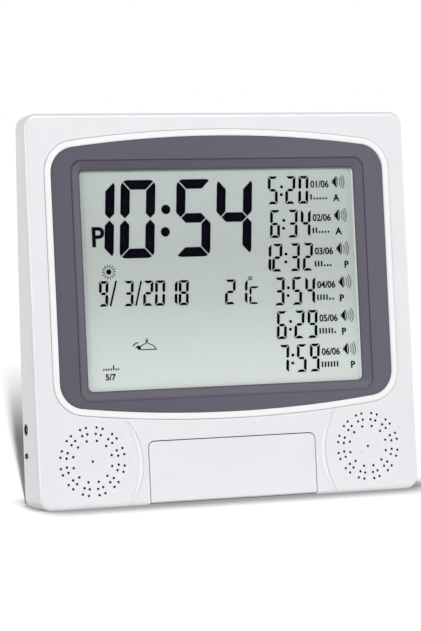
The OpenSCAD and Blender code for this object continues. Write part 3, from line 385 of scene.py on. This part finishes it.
def moulded(name, shade, rough, grain=0.35, relief=0.012, change=0.03, coat=0.0, speakers=False):
    # an even plastic with a fine grain; with speakers it has the painted shade and highlight round them
    finish, start = newFinish(name)
    patches = noise(start, plastic["patches"], 3)
    tint = mixTone(start, patches, tone(shade, 1 - change), tone(shade, 1 + change / 2))
    if speakers:
        # painted highlight between the crescent's arcs, painted shade along them and in the grille's holes
        lines, between = crescentLines(start)
        tint = mixTone(start, between * crescent["share"], tint, tone(crescent["shade"]))
        tint = mixTone(start, lines * crescent["paintedLineShare"], tint, tone(crescent["paintedLineShade"]))
        tint = mixTone(start, inSpeakerHoles(start), tint, tone(paintedHoleShade["shade"]))
    surface(start, {
        "Base Color": tint,
        "Roughness": uneven(start, plastic["cloud"], rough - plastic["gloss"] / 2, plastic["gloss"]),
        "Normal": bump(start, noise(start, grain), relief),
        "Coat Weight": coat,
    })
    return finish


slopeLook = {
    "lap": 2.2,                  # of the window behind the surround
    "corner": 2.5,               # radius at the window's edge
    "growth": 0.5,               # of that radius with the outline
    "line": 5.0,                 # from the window's edge to the painted dark line at the top of the slope
    "lineHalf": (0.252, 0.42),
    "paintedLineShade": "#2a2530",
    "paintedLineShare": 0.7,
    "footPaintedLineShare": 0.4,        # how much of that painted shade is lost at the foot
    "inner": (0.2, 1.1),         # the painted dark edge beside the window
    "paintedEdgeShade": "#3c3a44",
    "paintedEdgeShare": 0.5,
    "slope": (3.5, 4.5),         # its end, for the painted light at the foot and the left
    "side": (0, 0.6),
    "paintedLightShade": "#75737e",
    "paintedLightShare": 0.5,
    "across": (-90, 110),        # from the left tone to the right one
    "leftShade": "#5d5b67",
    "rightShade": "#676570",
    "patches": 14,
    "patchShade": "#696773",
    "patchShare": 0.3,
}


def surroundFinish():  # dark grey, with painted shade along both edges of the slope, and painted light on its foot and left side
    finish, start = newFinish("surroundGrey")
    low, high = caseBox("display_window")
    look = slopeLook
    half = Vector(((high.x - low.x) / 2 - look["lap"], 0, (high.z - low.z) / 2 - look["lap"])) * mm
    middle = (high.z + low.z) / 2 * mm
    spot = place(start)
    rise = spot.along(upward) - (caseOrigin.dot(upward) + middle)
    x = abs(spot.along((1, 0, 0))) - half.x
    v = abs(rise) - half.z
    wide = x.most(v).most(0.0)
    bend = wide * look["growth"] + look["corner"] * mm
    outX = (x - wide + bend).most(0.0)
    outV = (v - wide + bend).most(0.0)
    away = wide + (outX * outX + outV * outV).root() - bend
    # painted shade: a dark line at the top of the slope, and a dark edge beside the window
    line = 1 - abs(away - look["line"] * mm).past(look["lineHalf"])
    inner = 1 - away.past(look["inner"])
    # painted light on the slope's foot and left side
    slope = 1 - away.past(look["slope"])
    foot = (0 - rise - half.z).past(look["side"])
    left = (0 - spot.along((1, 0, 0)) - half.x).past(look["side"])
    patches = noise(start, look["patches"], 3)
    toRight = spot.along((1, 0, 0)).past(look["across"])
    turned = mixTone(start, toRight, tone(look["leftShade"]), tone(look["rightShade"]))
    plain = mixTone(start, patches * look["patchShare"], turned, tone(look["patchShade"]))
    pale = mixTone(start, slope * foot.most(left) * look["paintedLightShare"], plain, tone(look["paintedLightShade"]))
    dark = mixTone(start, inner * look["paintedEdgeShare"], pale, tone(look["paintedEdgeShade"]))
    paintedLineShare = look["paintedLineShare"] - foot * look["footPaintedLineShare"]
    paintedShadeLined = mixTone(start, line * paintedLineShare, dark, tone(look["paintedLineShade"]))
    surface(start, {
        "Base Color": paintedShadeLined,
        "Roughness": uneven(start, size=5, low=0.42, change=0.1),
        "Specular IOR Level": 0.15,
        "Normal": bump(start, noise(start, 0.3), 0.01),
    })
    return finish


displayLook = {
    "foot": 58,              # height at which the field starts, and how high it is
    "height": 110,
    "field": [(0.0, "#e9f1ed"), (0.12, "#e2ebe7"), (0.26, "#d7e1dc"), (0.40, "#ccd5d2"),
              (0.62, "#c4cdca"), (1.0, "#cbd5d1")],
    "cloud": 9,              # size of its faint clouds
    "cloudShade": "#a9b8b0",
    "cloudShare": 0.06,
    "lip": (-1.1, 0.5),      # at the right edge, painted light where the surround's lip shades the glass
    "paintedLipLight": "#b6bcb9",
}


def displayFinish():  # the glass with its grey-green field, paler towards the foot, and painted light along its right edge
    finish, start = newFinish("displayGreen")
    look = displayLook
    rise = place(start).along(upward) - caseOrigin.dot(upward)
    share = (rise - look["foot"] * mm) * (1 / (look["height"] * mm))
    stops = [(position, tone(shade)) for position, shade in look["field"]]
    field = start.node("ValToRGB", {"stops": stops}, {"Fac": share})
    cloud = noise(start, look["cloud"]) * look["cloudShare"]
    cloudy = mixTone(start, cloud, field, tone(look["cloudShade"]))
    edge = (caseBox("display_window")[1].x - slopeLook["lap"]) * mm
    under = (place(start).along((1, 0, 0)) - edge).past(look["lip"])
    surface(start, {
        "Base Color": cloudy,
        "Roughness": uneven(start, size=4, low=0.4, change=0.08),
        "Specular IOR Level": 0.1,
        # painted light: an emission glow that fills the shade under the surround's right lip
        "Emission Color": mixTone(start, under, tone("#000000"), tone(look["paintedLipLight"])),
        "Emission Strength": 1.0,
    })
    return finish


def windowFinish():  # clear plastic: its faint haze, and the gloss
    finish, start = newFinish("clearWindow")
    haze = uneven(start, size=25, low=0.015, change=0.01)
    surface(start, {"Base Color": tone("#0c0d0d"), "Roughness": 0.05, "Alpha": haze})
    return finish


def inkFinish(name, shade):  # what the display shows: near black, a little uneven
    finish, start = newFinish(name)
    tint = mixTone(start, noise(start, 2), tone(shade), tone(shade, 1.5))
    surface(start, {"Base Color": tint, "Roughness": 0.6, "Specular IOR Level": 0.0})
    return finish


# Finishes of what is inside and behind


brush = {"size": 0.4, "tones": (0.88, 1.08), "gloss": 0.18}


def metal(name, shade, rough, streak=(1, 1, 1)):
    finish, start = newFinish(name)
    brushed = noise(start, brush["size"], 4, place(start).scaled(*streak))
    tint = mixTone(start, brushed, *[tone(shade, lighter) for lighter in brush["tones"]])
    surface(start, {
        "Base Color": tint,
        "Metallic": 1.0,
        "Roughness": brushed * brush["gloss"] + (rough - brush["gloss"] / 2),
        "Normal": bump(start, brushed, 0.01),
    })
    return finish


boardLook = {
    "block": 7,            # size of the fields of tracks
    "lane": 11,
    "bend": 3.0,
    "tracks": (0.28, 0.34),
    "shades": ("#1f5a2f", "#276a38"),
    "trackShade": "#3f8a4c",
}


def boardFinish():  # green lacquer over copper tracks
    finish, start = newFinish("boardGreen")
    look = boardLook
    spot = place(start)
    blocks = start.node("TexVoronoi", {"distance": "MANHATTAN", "feature": "F1"},
                        {"Vector": spot, "Scale": 1 / (look["block"] * mm)}, "Distance")
    lanes = start.node("TexWave", {"wave_type": "BANDS", "bands_direction": "X"}, {
        "Vector": spot, "Scale": 1 / (look["lane"] * mm), "Distortion": look["bend"], "Detail": 1.0})
    tracks = (blocks * lanes).step(*look["tracks"])
    green = mixTone(start, noise(start, 12), *[tone(shade) for shade in look["shades"]])
    lacquer = mixTone(start, tracks, green, tone(look["trackShade"]))
    surface(start, {
        "Base Color": lacquer,
        "Roughness": uneven(start, size=5, low=0.25, change=0.15),
        "Normal": bump(start, tracks, 0.03),
        "Coat Weight": 0.4,
    })
    return finish


cellLook = {
    "bareEnds": (-2.2, -2.0),  # from its ends
    "bandAt": 9,               # from its middle
    "bandHalf": (5.4, 5.6),
    "bandShade": "#d9dde2",
    "sleeveShade": "#2d5fa6",
    "metalShade": "#c9ccd0",
}


def cellFinish():  # a printed sleeve between bare ends
    finish, start = newFinish("cellBlue")
    look = cellLook
    low, high = caseBox("cell_1")
    reach = (high.x - low.x) / 2 * mm
    x = place(start).along((1, 0, 0)) - (high.x + low.x) / 2 * mm
    sleeve = 1 - (abs(x) - reach).past(look["bareEnds"])
    beyond = abs(x - look["bandAt"] * mm).past(look["bandHalf"])
    printed = mixTone(start, beyond, tone(look["bandShade"]), tone(look["sleeveShade"]))
    shade = mixTone(start, sleeve, tone(look["metalShade"]), printed)
    surface(start, {
        "Base Color": shade,
        "Metallic": 1 - sleeve,
        "Roughness": uneven(start, size=4, low=0.28, change=0.1),
        "Normal": bump(start, noise(start, 1.2), 0.01),
    })
    return finish


def porous(name, shade, rough, size, depth):  # paper and foam
    finish, start = newFinish(name)
    pores = start.node("TexVoronoi", None, {"Vector": place(start), "Scale": 1 / (size * mm)}, "Distance")
    tint = mixTone(start, pores, tone(shade, 0.75), tone(shade, 1.15))
    surface(start, {"Base Color": tint, "Roughness": rough, "Normal": bump(start, pores, depth)})
    return finish


ribbonLook = {"density": 0.3, "lanes": (0.4, 0.6), "shades": ("#b9812c", "#dba756")}


def ribbonFinish():  # amber film over flat copper tracks
    finish, start = newFinish("ribbonAmber")
    waves = start.node("TexWave", {"wave_type": "BANDS", "bands_direction": "X"},
                       {"Vector": place(start), "Scale": ribbonLook["density"] / mm})
    lanes = waves.step(*ribbonLook["lanes"])
    tint = mixTone(start, lanes, *[tone(shade) for shade in ribbonLook["shades"]])
    surface(start, {"Base Color": tint, "Roughness": uneven(start, size=3, low=0.3, change=0.1)})
    return finish


# painted highlight: the pale spot in the lamp's middle
lampLook = {"paintedHighlight": (0.45, 0.85), "shade": "#560f1a", "paintedHighlightShade": "#f6ecec"}


def lampFinish():  # clear red resin, with a painted highlight in its middle
    finish, start = newFinish("lampRed")
    low, high = caseBox("power_lamp")
    middle = caseMatrix @ (Vector((0, (low.y + high.y) / 2, (low.z + high.z) / 2)) * mm)
    spot = place(start)
    side = spot.along(inward) - middle.dot(inward)
    rise = spot.along(upward) - middle.dot(upward)
    apart = (side * side + rise * rise).root()
    paintedHighlight = 1 - apart.past(lampLook["paintedHighlight"])
    tint = mixTone(start, paintedHighlight, tone(lampLook["shade"]), tone(lampLook["paintedHighlightShade"]))
    surface(start, {
        "Base Color": tint,
        "Roughness": uneven(start, size=1.5, low=0.3, change=0.06),
        "Specular IOR Level": 0.2,
    })
    return finish


finishes = {
    "caseWhite": (moulded("caseWhite", "#eeeff2", 0.36, coat=0.5),
                  ["rear_case", "button_cover", "battery_cover", "fold_out_foot"]),
    "caseFront": (moulded("caseFront", "#eeeff2", 0.36, coat=0.5, speakers=True), ["front_case"]),
    "trimWhite": (moulded("trimWhite", "#ffffff", 0.2, relief=0.004, change=0.01, coat=0.4),
                  ["trim_ring"]),
    "surroundGrey": (surroundFinish(), ["display_surround"]),
    "clearWindow": (windowFinish(), ["display_window"]),
    "displayGreen": (displayFinish(), ["display_front_glass"]),
    "rearGlass": (moulded("rearGlass", "#9fb0a6", 0.12, relief=0.002, coat=0.5), ["display_rear_glass"]),
    "reflectorSilver": (metal("reflectorSilver", "#dfe2de", 0.35), ["display_reflector"]),
    "innerWhite": (moulded("innerWhite", "#f0efe8", 0.5, grain=0.6), ["display_holder", "wire_sockets"]),
    "ribbonAmber": (ribbonFinish(), ["key_ribbon"]),
    "stripRubber": (moulded("stripRubber", "#c99aa0", 0.7, grain=0.5, relief=0.03), ["contact_strip"]),
    "boardGreen": (boardFinish(), ["main_board", "key_board", "side_board"]),
    "chipBlack": (moulded("chipBlack", "#1d1d21", 0.45, grain=0.25, relief=0.02, change=0.2),
                  ["clock_chip", "sound_chip", "amplifier_chip"]),
    "screwSteel": (metal("screwSteel", "#b9bcc0", 0.32),
                   ["holder_screws", "board_screws", "key_board_screws", "speaker_screws", "case_screws",
                    "side_board_screws"]),
    "brightSteel": (metal("brightSteel", "#cfd1d4", 0.22, (1, 6, 1)),
                    ["crystal", "contact_plates", "contact_springs", "speaker_magnet_left",
                     "speaker_magnet_right"]),
    "pinSteel": (metal("pinSteel", "#85878b", 0.45), ["inlet_pin"]),
    "basketSteel": (metal("basketSteel", "#7d8086", 0.4),
                    ["speaker_basket_left", "speaker_basket_right"]),
    "capBlue": (moulded("capBlue", "#2b3f7a", 0.3, grain=0.8, change=0.1, coat=0.3), ["capacitors"]),
    "sensorBrown": (moulded("sensorBrown", "#3d2a1c", 0.35, change=0.2, coat=0.3),
                    ["temperature_sensor"]),
    "matRubber": (moulded("matRubber", "#8d9096", 0.75, grain=0.5, relief=0.03), ["key_mat"]),
    "gasketFoam": (porous("gasketFoam", "#36363a", 0.95, 0.5, 0.15),
                   ["speaker_gasket_left", "speaker_gasket_right"]),
    "conePaper": (porous("conePaper", "#2c2825", 0.9, 0.8, 0.06),
                  ["speaker_cone_left", "speaker_cone_right"]),
    "buttonWhite": (moulded("buttonWhite", "#dfe1e4", 0.42, grain=0.3),
                    ["button_" + str(i) for i in range(1, 9)]),
    "cellBlue": (cellFinish(), ["cell_1", "cell_2", "cell_3"]),
    "inletBlack": (moulded("inletBlack", "#121214", 0.35, grain=0.3, change=0.3), ["power_inlet"]),
    "lampRed": (lampFinish(), ["power_lamp"]),
    "wireRed": (moulded("wireRed", "#a8302c", 0.4, grain=0.6, change=0.1),
                ["speaker_wire_left", "speaker_wire_right"]),
    "wireBlack": (moulded("wireBlack", "#202022", 0.4, grain=0.6, change=0.2),
                  ["battery_wire", "inlet_wire"]),
}


def dressNodes():
    for finish, names in finishes.values():
        for name in names:
            nodes[name].data.materials.clear()
            nodes[name].data.materials.append(finish)
    bare = set(nodes) - {name for _, names in finishes.values() for name in names}
    print("finishes given; nodes without one:", sorted(bare))


dressNodes()
inkBlack = inkFinish("inkBlack", "#0a0812")
inkGrey = inkFinish("inkGrey", "#56615e")

# Flat pieces: outlines in x and height on the case's front, in mm, made into thin solids


def flatPiece(name, outlines, depth, thick, finish, body="case"):
    shape = bmesh.new()
    for outline in outlines:
        corners = [shape.verts.new((x * mm, depth * mm, v * mm)) for x, v in outline]
        face = shape.faces.new(corners)
        grown = bmesh.ops.extrude_face_region(shape, geom=[face])["geom"]
        moved = [g for g in grown if isinstance(g, bmesh.types.BMVert)]
        bmesh.ops.translate(shape, verts=moved, vec=(0, thick * mm, 0))
    bmesh.ops.recalc_face_normals(shape, faces=shape.faces)
    mesh = bpy.data.meshes.new(name)
    shape.to_mesh(mesh)
    shape.free()
    mesh.materials.append(finish)
    made = bpy.data.objects.new(name, mesh)
    made.matrix_world = caseMatrix
    bpy.context.scene.collection.objects.link(made)
    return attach(made, body)


def circle(x, v, r, sides=24):
    return [(x + r * math.cos(2 * math.pi * i / sides), v + r * math.sin(2 * math.pi * i / sides))
            for i in range(sides)]


def arc(x, v, r, first, last, steps=10):
    turns = [math.radians(first + (last - first) * i / steps) for i in range(steps + 1)]
    return [(x + r * math.cos(t), v + r * math.sin(t)) for t in turns]


def arcBand(x, v, r, width, first, last, steps=12):
    return arc(x, v, r + width / 2, first, last, steps) + arc(x, v, r - width / 2, last, first, steps)


def ring(x, v, r, width):
    return [arcBand(x, v, r, width, 0, 180), arcBand(x, v, r, width, 180, 360)]


def bar(x0, v0, x1, v1, width):  # a straight stroke between two points
    along = Vector((x1 - x0, v1 - v0)).normalized() * width / 2
    side = Vector((-along.y, along.x))
    return [(x0 + side.x, v0 + side.y), (x1 + side.x, v1 + side.y),
            (x1 - side.x, v1 - side.y), (x0 - side.x, v0 - side.y)]


def mirrored(outline, x=1, v=1):
    return [(p[0] * x, p[1] * v) for p in outline]


# Seven-part digits

lit = {
    "0": "abcdef", "1": "bc", "2": "abged", "3": "abgcd", "4": "fgbc",
    "5": "afgcd", "6": "afgedc", "7": "abc", "8": "abcdefg", "9": "abcdfg", "C": "adef",
}


def digitParts(halfW, halfH, look):  # the seven parts round the digit's middle
    off = look["gap"] / math.sqrt(2)
    up, flat, r = look["upright"], look["flat"], look["round"]
    lean = math.degrees(math.asin(min(1, off / (r * math.sqrt(2)))))
    centre = (r - halfW, halfH - r)
    side = [(up / 2 - halfW, off), (-halfW, off + up / 2)]
    side += arc(*centre, r, 180, 135 + lean, 5)
    side += [(up - halfW, halfH - off - up), (up - halfW, off + up / 2)]
    top = arc(*centre, r, 135 - lean, 90, 5)
    top += mirrored(top[::-1], x=-1)
    top += [(halfW - flat - off, halfH - flat), (flat + off - halfW, halfH - flat)]
    tip = halfW - up / 2 - off
    middle = [(-tip, 0), (flat / 2 - tip, flat / 2), (tip - flat / 2, flat / 2),
              (tip, 0), (tip - flat / 2, -flat / 2), (flat / 2 - tip, -flat / 2)]
    return {
        "a": top, "d": mirrored(top, v=-1), "g": middle,
        "f": side, "b": mirrored(side, x=-1), "e": mirrored(side, v=-1), "c": mirrored(side, -1, -1),
    }


def digit(mark, left, width, middle, height, look):  # its outlines, leaning to the right
    parts = digitParts(width / 2, height / 2, look)
    found = [parts[p] for p in lit[mark]]
    return [[(left + width / 2 + x + look["lean"] * v, middle + v) for x, v in part] for part in found]


screenDepth = (caseBox("display_window")[1].y + caseBox("display_front_glass")[0].y) / 2
inkThick = 0.05


def inkPiece(name, outlines, finish=inkBlack):
    return flatPiece(name, outlines, screenDepth - inkThick / 2, inkThick, finish)


bigTime = {
    "look": {"upright": 4.9, "flat": 4.8, "gap": 0.6, "round": 3.4, "lean": 0.065},
    "middle": 142.3,
    "height": 39.0,
    "digits": [("1", -75.1, 18.5), ("0", -53.4, 18.5), ("5", -23.5, 18.8), ("4", -1.6, 19.4)],
    "dots": [(-28.8, 146.8), (-29.6, 135.6)],
    "dotRadius": 2.4,
}


def addBigTime():
    for number, (mark, left, width) in enumerate(bigTime["digits"], 1):
        inkPiece("time_digit_" + str(number),
                 digit(mark, left, width, bigTime["middle"], bigTime["height"], bigTime["look"]))
    inkPiece("time_dots", [circle(x, v, bigTime["dotRadius"], 40) for x, v in bigTime["dots"]])


smallLook = {"upright": 1.5, "flat": 1.32, "gap": 0.46, "round": 0.5, "lean": 0.062}
dateLine = {
    "look": {"upright": 1.45, "flat": 1.3, "gap": 0.42, "round": 0.5, "lean": 0.062},
    "height": 12.6,
    "top": 111.8,
    "drop": 0.0157,
    "first": -66,
    "digits": [("9", -66.4, 4.9), ("3", -53.2, 5.1), ("2", -42.9, 5.3), ("0", -36.6, 5.4),
               ("1", -29.9, 5.3), ("8", -23.9, 5.4), ("2", 1.3, 5.7), ("1", 8.0, 5.6)],
    "slashes": [(-60.6, 99.3, -57.0, 111.8), (-47.1, 99.1, -43.7, 111.4)],
    "slashWidth": 0.9,
    "degree": (15.4, 111.0, 0.8, 0.5),
    "scale": ("C", 14.6, 5.2, 102.4, 9.0),
    "scaleLook": {"upright": 1.1, "flat": 1.0, "gap": 0.35},
}


def addDate():
    outlines = []
    for mark, left, width in dateLine["digits"]:
        top = dateLine["top"] - dateLine["drop"] * (left - dateLine["first"])
        middle = top - dateLine["height"] / 2
        outlines += digit(mark, left, width, middle, dateLine["height"], dateLine["look"])
    inkPiece("date_digits", outlines)
    inkPiece("date_slashes", [bar(*s, dateLine["slashWidth"]) for s in dateLine["slashes"]])
    mark, left, width, middle, height = dateLine["scale"]
    thin = dict(dateLine["look"], **dateLine["scaleLook"])
    scale = digit(mark, left, width, middle, height, thin)
    inkPiece("temperature_scale", ring(*dateLine["degree"]) + scale)


# The six rows at the right: a time with its number, steps that count it, half-day mark and sound sign

rows = {
    "times": ["5:20", "6:34", "12:32", "3:54", "6:29", "7:59"],
    "halfDays": [("A", 63.9), ("A", 64.4), ("P", 68.3), ("P", 64.8), ("P", 65.1), ("P", 69.3)],
    "top": 162.6,
    "pitch": 17.2,
    "height": 14.2,
    "shift": 0.4,
    "digitWidth": 5.5,
    "places": [21.3, 27.4, 37.2, 44.5],  # the first for tens of hours
    "dots": [(35.1, -5.4), (34.8, -9.4)],
    "dotRadius": 0.8,
    "signAt": (63.4, -3.3),
    "labelAt": (51.3, -5.95),
    "label": {"height": 3.5, "bold": 0.11, "wide": 0.93},
    "stepsAt": (51.4, -12.2),
    "step": {"pitch": 1.7, "width": 0.85, "tall": 2.8, "low": 1.0},
    "halfDayDrop": -13.1,
    "halfDay": {"height": 3.5, "bold": 0.16},
}
capitalShare = 0.72  # of the font's size


def inkText(name, text, x, v, height, bold, wide=1.0):
    # plain numerals and signs from Blender's own font, as thin solids
    curve = bpy.data.curves.new(name, "FONT")
    curve.body = text
    curve.size = height / capitalShare * mm
    curve.extrude = inkThick / 2 * mm
    curve.offset = bold * mm
    made = bpy.data.objects.new(name, curve)
    bpy.context.scene.collection.objects.link(made)
    bpy.context.view_layer.update()
    mesh = bpy.data.meshes.new_from_object(made.evaluated_get(bpy.context.evaluated_depsgraph_get()))
    bpy.data.objects.remove(made)
    mesh.name = name
    mesh.materials.clear()
    mesh.materials.append(inkBlack)
    stretch = Matrix.Diagonal((wide, 1, 1, 1))
    upright = Matrix.Rotation(math.radians(90), 4, "X")
    spot = Matrix.Translation(Vector((x, screenDepth, v)) * mm)
    mesh.transform(spot @ upright @ stretch)
    solid = bpy.data.objects.new(name, mesh)
    solid.matrix_world = caseMatrix
    bpy.context.scene.collection.objects.link(solid)
    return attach(solid, "case")


soundLook = {
    "block": (0.7, 0.8),                          # width and half height
    "cone": [(0.75, 0.95), (2.4, 2.9)],           # place and half height of both ends
    "mouth": [(-4.1, 7.4, 23), (-4.8, 7.7, 21)],  # middle, radius and turn of both arcs
    "wavesAt": 1.2,
    "waves": [(3.4, 0.36, 34), (4.6, 0.4, 36), (5.8, 0.44, 37)],  # radius, width and turn
}


def soundSign(x, v):  # block, cone, mouth and the waves before it
    width, half = soundLook["block"]
    block = [(x, v - half), (x + width, v - half), (x + width, v + half), (x, v + half)]
    (near, small), (far, large) = soundLook["cone"]
    cone = [(x + near, v - small), (x + far, v - large), (x + far, v + large), (x + near, v + small)]
    (outerAt, outer, outerTurn), (innerAt, inner, innerTurn) = soundLook["mouth"]
    mouth = arc(x + outerAt, v, outer, -outerTurn, outerTurn, 8)
    mouth += arc(x + innerAt, v, inner, innerTurn, -innerTurn, 8)
    waves = [arcBand(x + soundLook["wavesAt"], v, r, wide, -turn, turn)
             for r, wide, turn in soundLook["waves"]]
    return [cone, mouth], [block] + waves


def tickRow(x, v, look, talls):  # strokes side by side, tall where talls says so
    places = [x + look["pitch"] * i for i in range(len(talls))]
    heights = [look["tall"] if tall else look["low"] for tall in talls]
    return [bar(at, v, at, v + height, look["width"]) for at, height in zip(places, heights)]


def addRows():
    for index, time in enumerate(rows["times"]):
        shift = rows["shift"] * index
        top = rows["top"] - rows["pitch"] * index
        middle = top - rows["height"] / 2
        outlines = [circle(x + shift, top + v, rows["dotRadius"]) for x, v in rows["dots"]]
        marks = time.replace(":", "")
        for mark, left in zip(marks, rows["places"][-len(marks):]):
            outlines += digit(mark, left + shift, rows["digitWidth"], middle, rows["height"], smallLook)
        number = str(index + 1)
        inkPiece("row_" + number + "_time", outlines)
        dark, pale = soundSign(rows["signAt"][0] + shift, top + rows["signAt"][1])
        inkPiece("row_" + number + "_sound_sign", dark)
        inkPiece("row_" + number + "_sound_waves", pale, inkGrey)
        x, v = rows["labelAt"]
        inkText("row_" + number + "_label", "0" + number + "/06", x + shift, top + v, **rows["label"])
        x, v = rows["stepsAt"]
        talls = [i <= index for i in range(len(rows["times"]))]
        inkPiece("row_" + number + "_steps", tickRow(x + shift, top + v, rows["step"], talls))
        mark, left = rows["halfDays"][index]
        inkText("row_" + number + "_half_day", mark, left, top + rows["halfDayDrop"], **rows["halfDay"])


halfDayMark = {"text": "P", "x": -69.4, "v": 129.0, "height": 10.0, "bold": 0.28}

sunSign = {
    "at": (-60.7, 116.3),
    "disc": 1.35,
    "rays": 14,
    "rayFrom": 2.2,  # from its middle
    "rayTo": 3.7,
    "rayWidth": 0.42,
}


def addSun():
    x, v = sunSign["at"]
    near, far = sunSign["rayFrom"], sunSign["rayTo"]
    turns = [2 * math.pi * i / sunSign["rays"] for i in range(sunSign["rays"])]
    rays = [bar(x + near * math.cos(turn), v + near * math.sin(turn),
                x + far * math.cos(turn), v + far * math.sin(turn), sunSign["rayWidth"]) for turn in turns]
    inkPiece("sun_disc", [circle(x, v, sunSign["disc"])])
    inkPiece("sun_rays", rays)


domeSign = {
    "at": (-46.0, 77.0),
    "stroke": 0.42,
    "roof": [(0, 1.0), (0.9, 2.2), (2.6, 2.9), (3.8, 3.6), (5.2, 2.9), (7.2, 2.0), (8.3, 0.7), (8.9, 0),
             (0, 0.1)],
    "finial": [(3.8, 3.5, 3.8, 5.8), (3.0, 4.0, 4.7, 4.9)],
    "horn": (-0.4, 1.0, 0.9),
    "wavesAt": (0.2, -1.0),
    "waves": (4.9, 3.1),
    "waveWidth": 0.5,
    "waveTurn": (100, 142),
}


def addDome():  # a dome with a finial, and a horn with two waves at its left
    x, v = domeSign["at"]
    thick = domeSign["stroke"]
    roof = [(x + right, v + up) for right, up in domeSign["roof"]]
    strokes = [bar(*roof[i], *roof[i + 1], thick) for i in range(len(roof) - 1)]
    strokes += [bar(x + x0, v + v0, x + x1, v + v1, thick) for x0, v0, x1, v1 in domeSign["finial"]]
    right, up = domeSign["wavesAt"]
    strokes += [arcBand(x + right, v + up, r, domeSign["waveWidth"], *domeSign["waveTurn"])
                for r in domeSign["waves"]]
    right, up, r = domeSign["horn"]
    inkPiece("dome_sign", strokes + [circle(x + right, v + up, r)])


weekday = {
    "mark": {"text": "5/7", "x": -64.9, "v": 62.7, "height": 3.0, "bold": 0.12},
    "ticksAt": (-65.6, 67.4),
    "days": 7,
    "today": 5,
    "tick": {"pitch": 1.3, "width": 0.6, "tall": 2.6, "low": 1.0},
}


def addWeekday():
    inkText("weekday_mark", **weekday["mark"])
    talls = [day == weekday["today"] for day in range(1, weekday["days"] + 1)]
    inkPiece("weekday_ticks", tickRow(*weekday["ticksAt"], weekday["tick"], talls))


addBigTime()
addDate()
addRows()
inkText("half_day_mark", **halfDayMark)
addSun()
addDome()
addWeekday()
print("display drawn")

# Signs on the buttons behind the cover

buttonSigns = {
    "kinds": ["less", "more", "back", "on", "stop", "ring", "dot", "lines"],
    "thick": 0.12,
    "size": 1.5,
    "width": 0.5,
}


def buttonSign(kind, x, v):
    r, w = buttonSigns["size"], buttonSigns["width"]
    left = [(x - r, v), (x + r * 0.7, v + r), (x + r * 0.7, v - r)]
    drawn = {
        "less": [bar(x - r, v, x + r, v, w)],
        "more": [bar(x - r, v, x + r, v, w), bar(x, v + w / 2, x, v + r, w),
                 bar(x, v - r, x, v - w / 2, w)],
        "back": [left],
        "on": [[(2 * x - p[0], p[1]) for p in left[::-1]]],
        "stop": [bar(x - r * 0.8, v, x + r * 0.8, v, r * 1.6)],
        "ring": ring(x, v, r, w),
        "dot": [circle(x, v, r * 0.7)],
        "lines": [bar(x - r, v + s, x + r, v + s, w) for s in (-r * 0.7, 0, r * 0.7)],
    }
    return drawn[kind]


def addButtonSigns():
    thick = buttonSigns["thick"]
    for number, kind in enumerate(buttonSigns["kinds"], 1):
        low, high = caseBox("button_" + str(number))
        x, v = (low.x + high.x) / 2, (low.z + high.z) / 2
        flatPiece("button_sign_" + str(number), buttonSign(kind, x, v), low.y - thick, thick, inkGrey,
                  "button_" + str(number))


# Grip ribs on the battery cover

coverGrip = {"ribs": 5, "pitch": 2.4, "width": 1.0, "length": 22, "taper": 3, "proud": 0.35, "drop": 5}


def addCoverGrip():
    high = caseBox("battery_cover")[1]
    ribs = []
    for i in range(coverGrip["ribs"]):
        v = high.z - coverGrip["drop"] - i * coverGrip["pitch"]
        half = (coverGrip["length"] - i * coverGrip["taper"]) / 2
        ribs.append(bar(-half, v, half, v, coverGrip["width"]))
    flatPiece("cover_grip", ribs, high.y, coverGrip["proud"], finishes["caseWhite"][0], "battery_cover")


addButtonSigns()
addCoverGrip()
print("small pieces added")
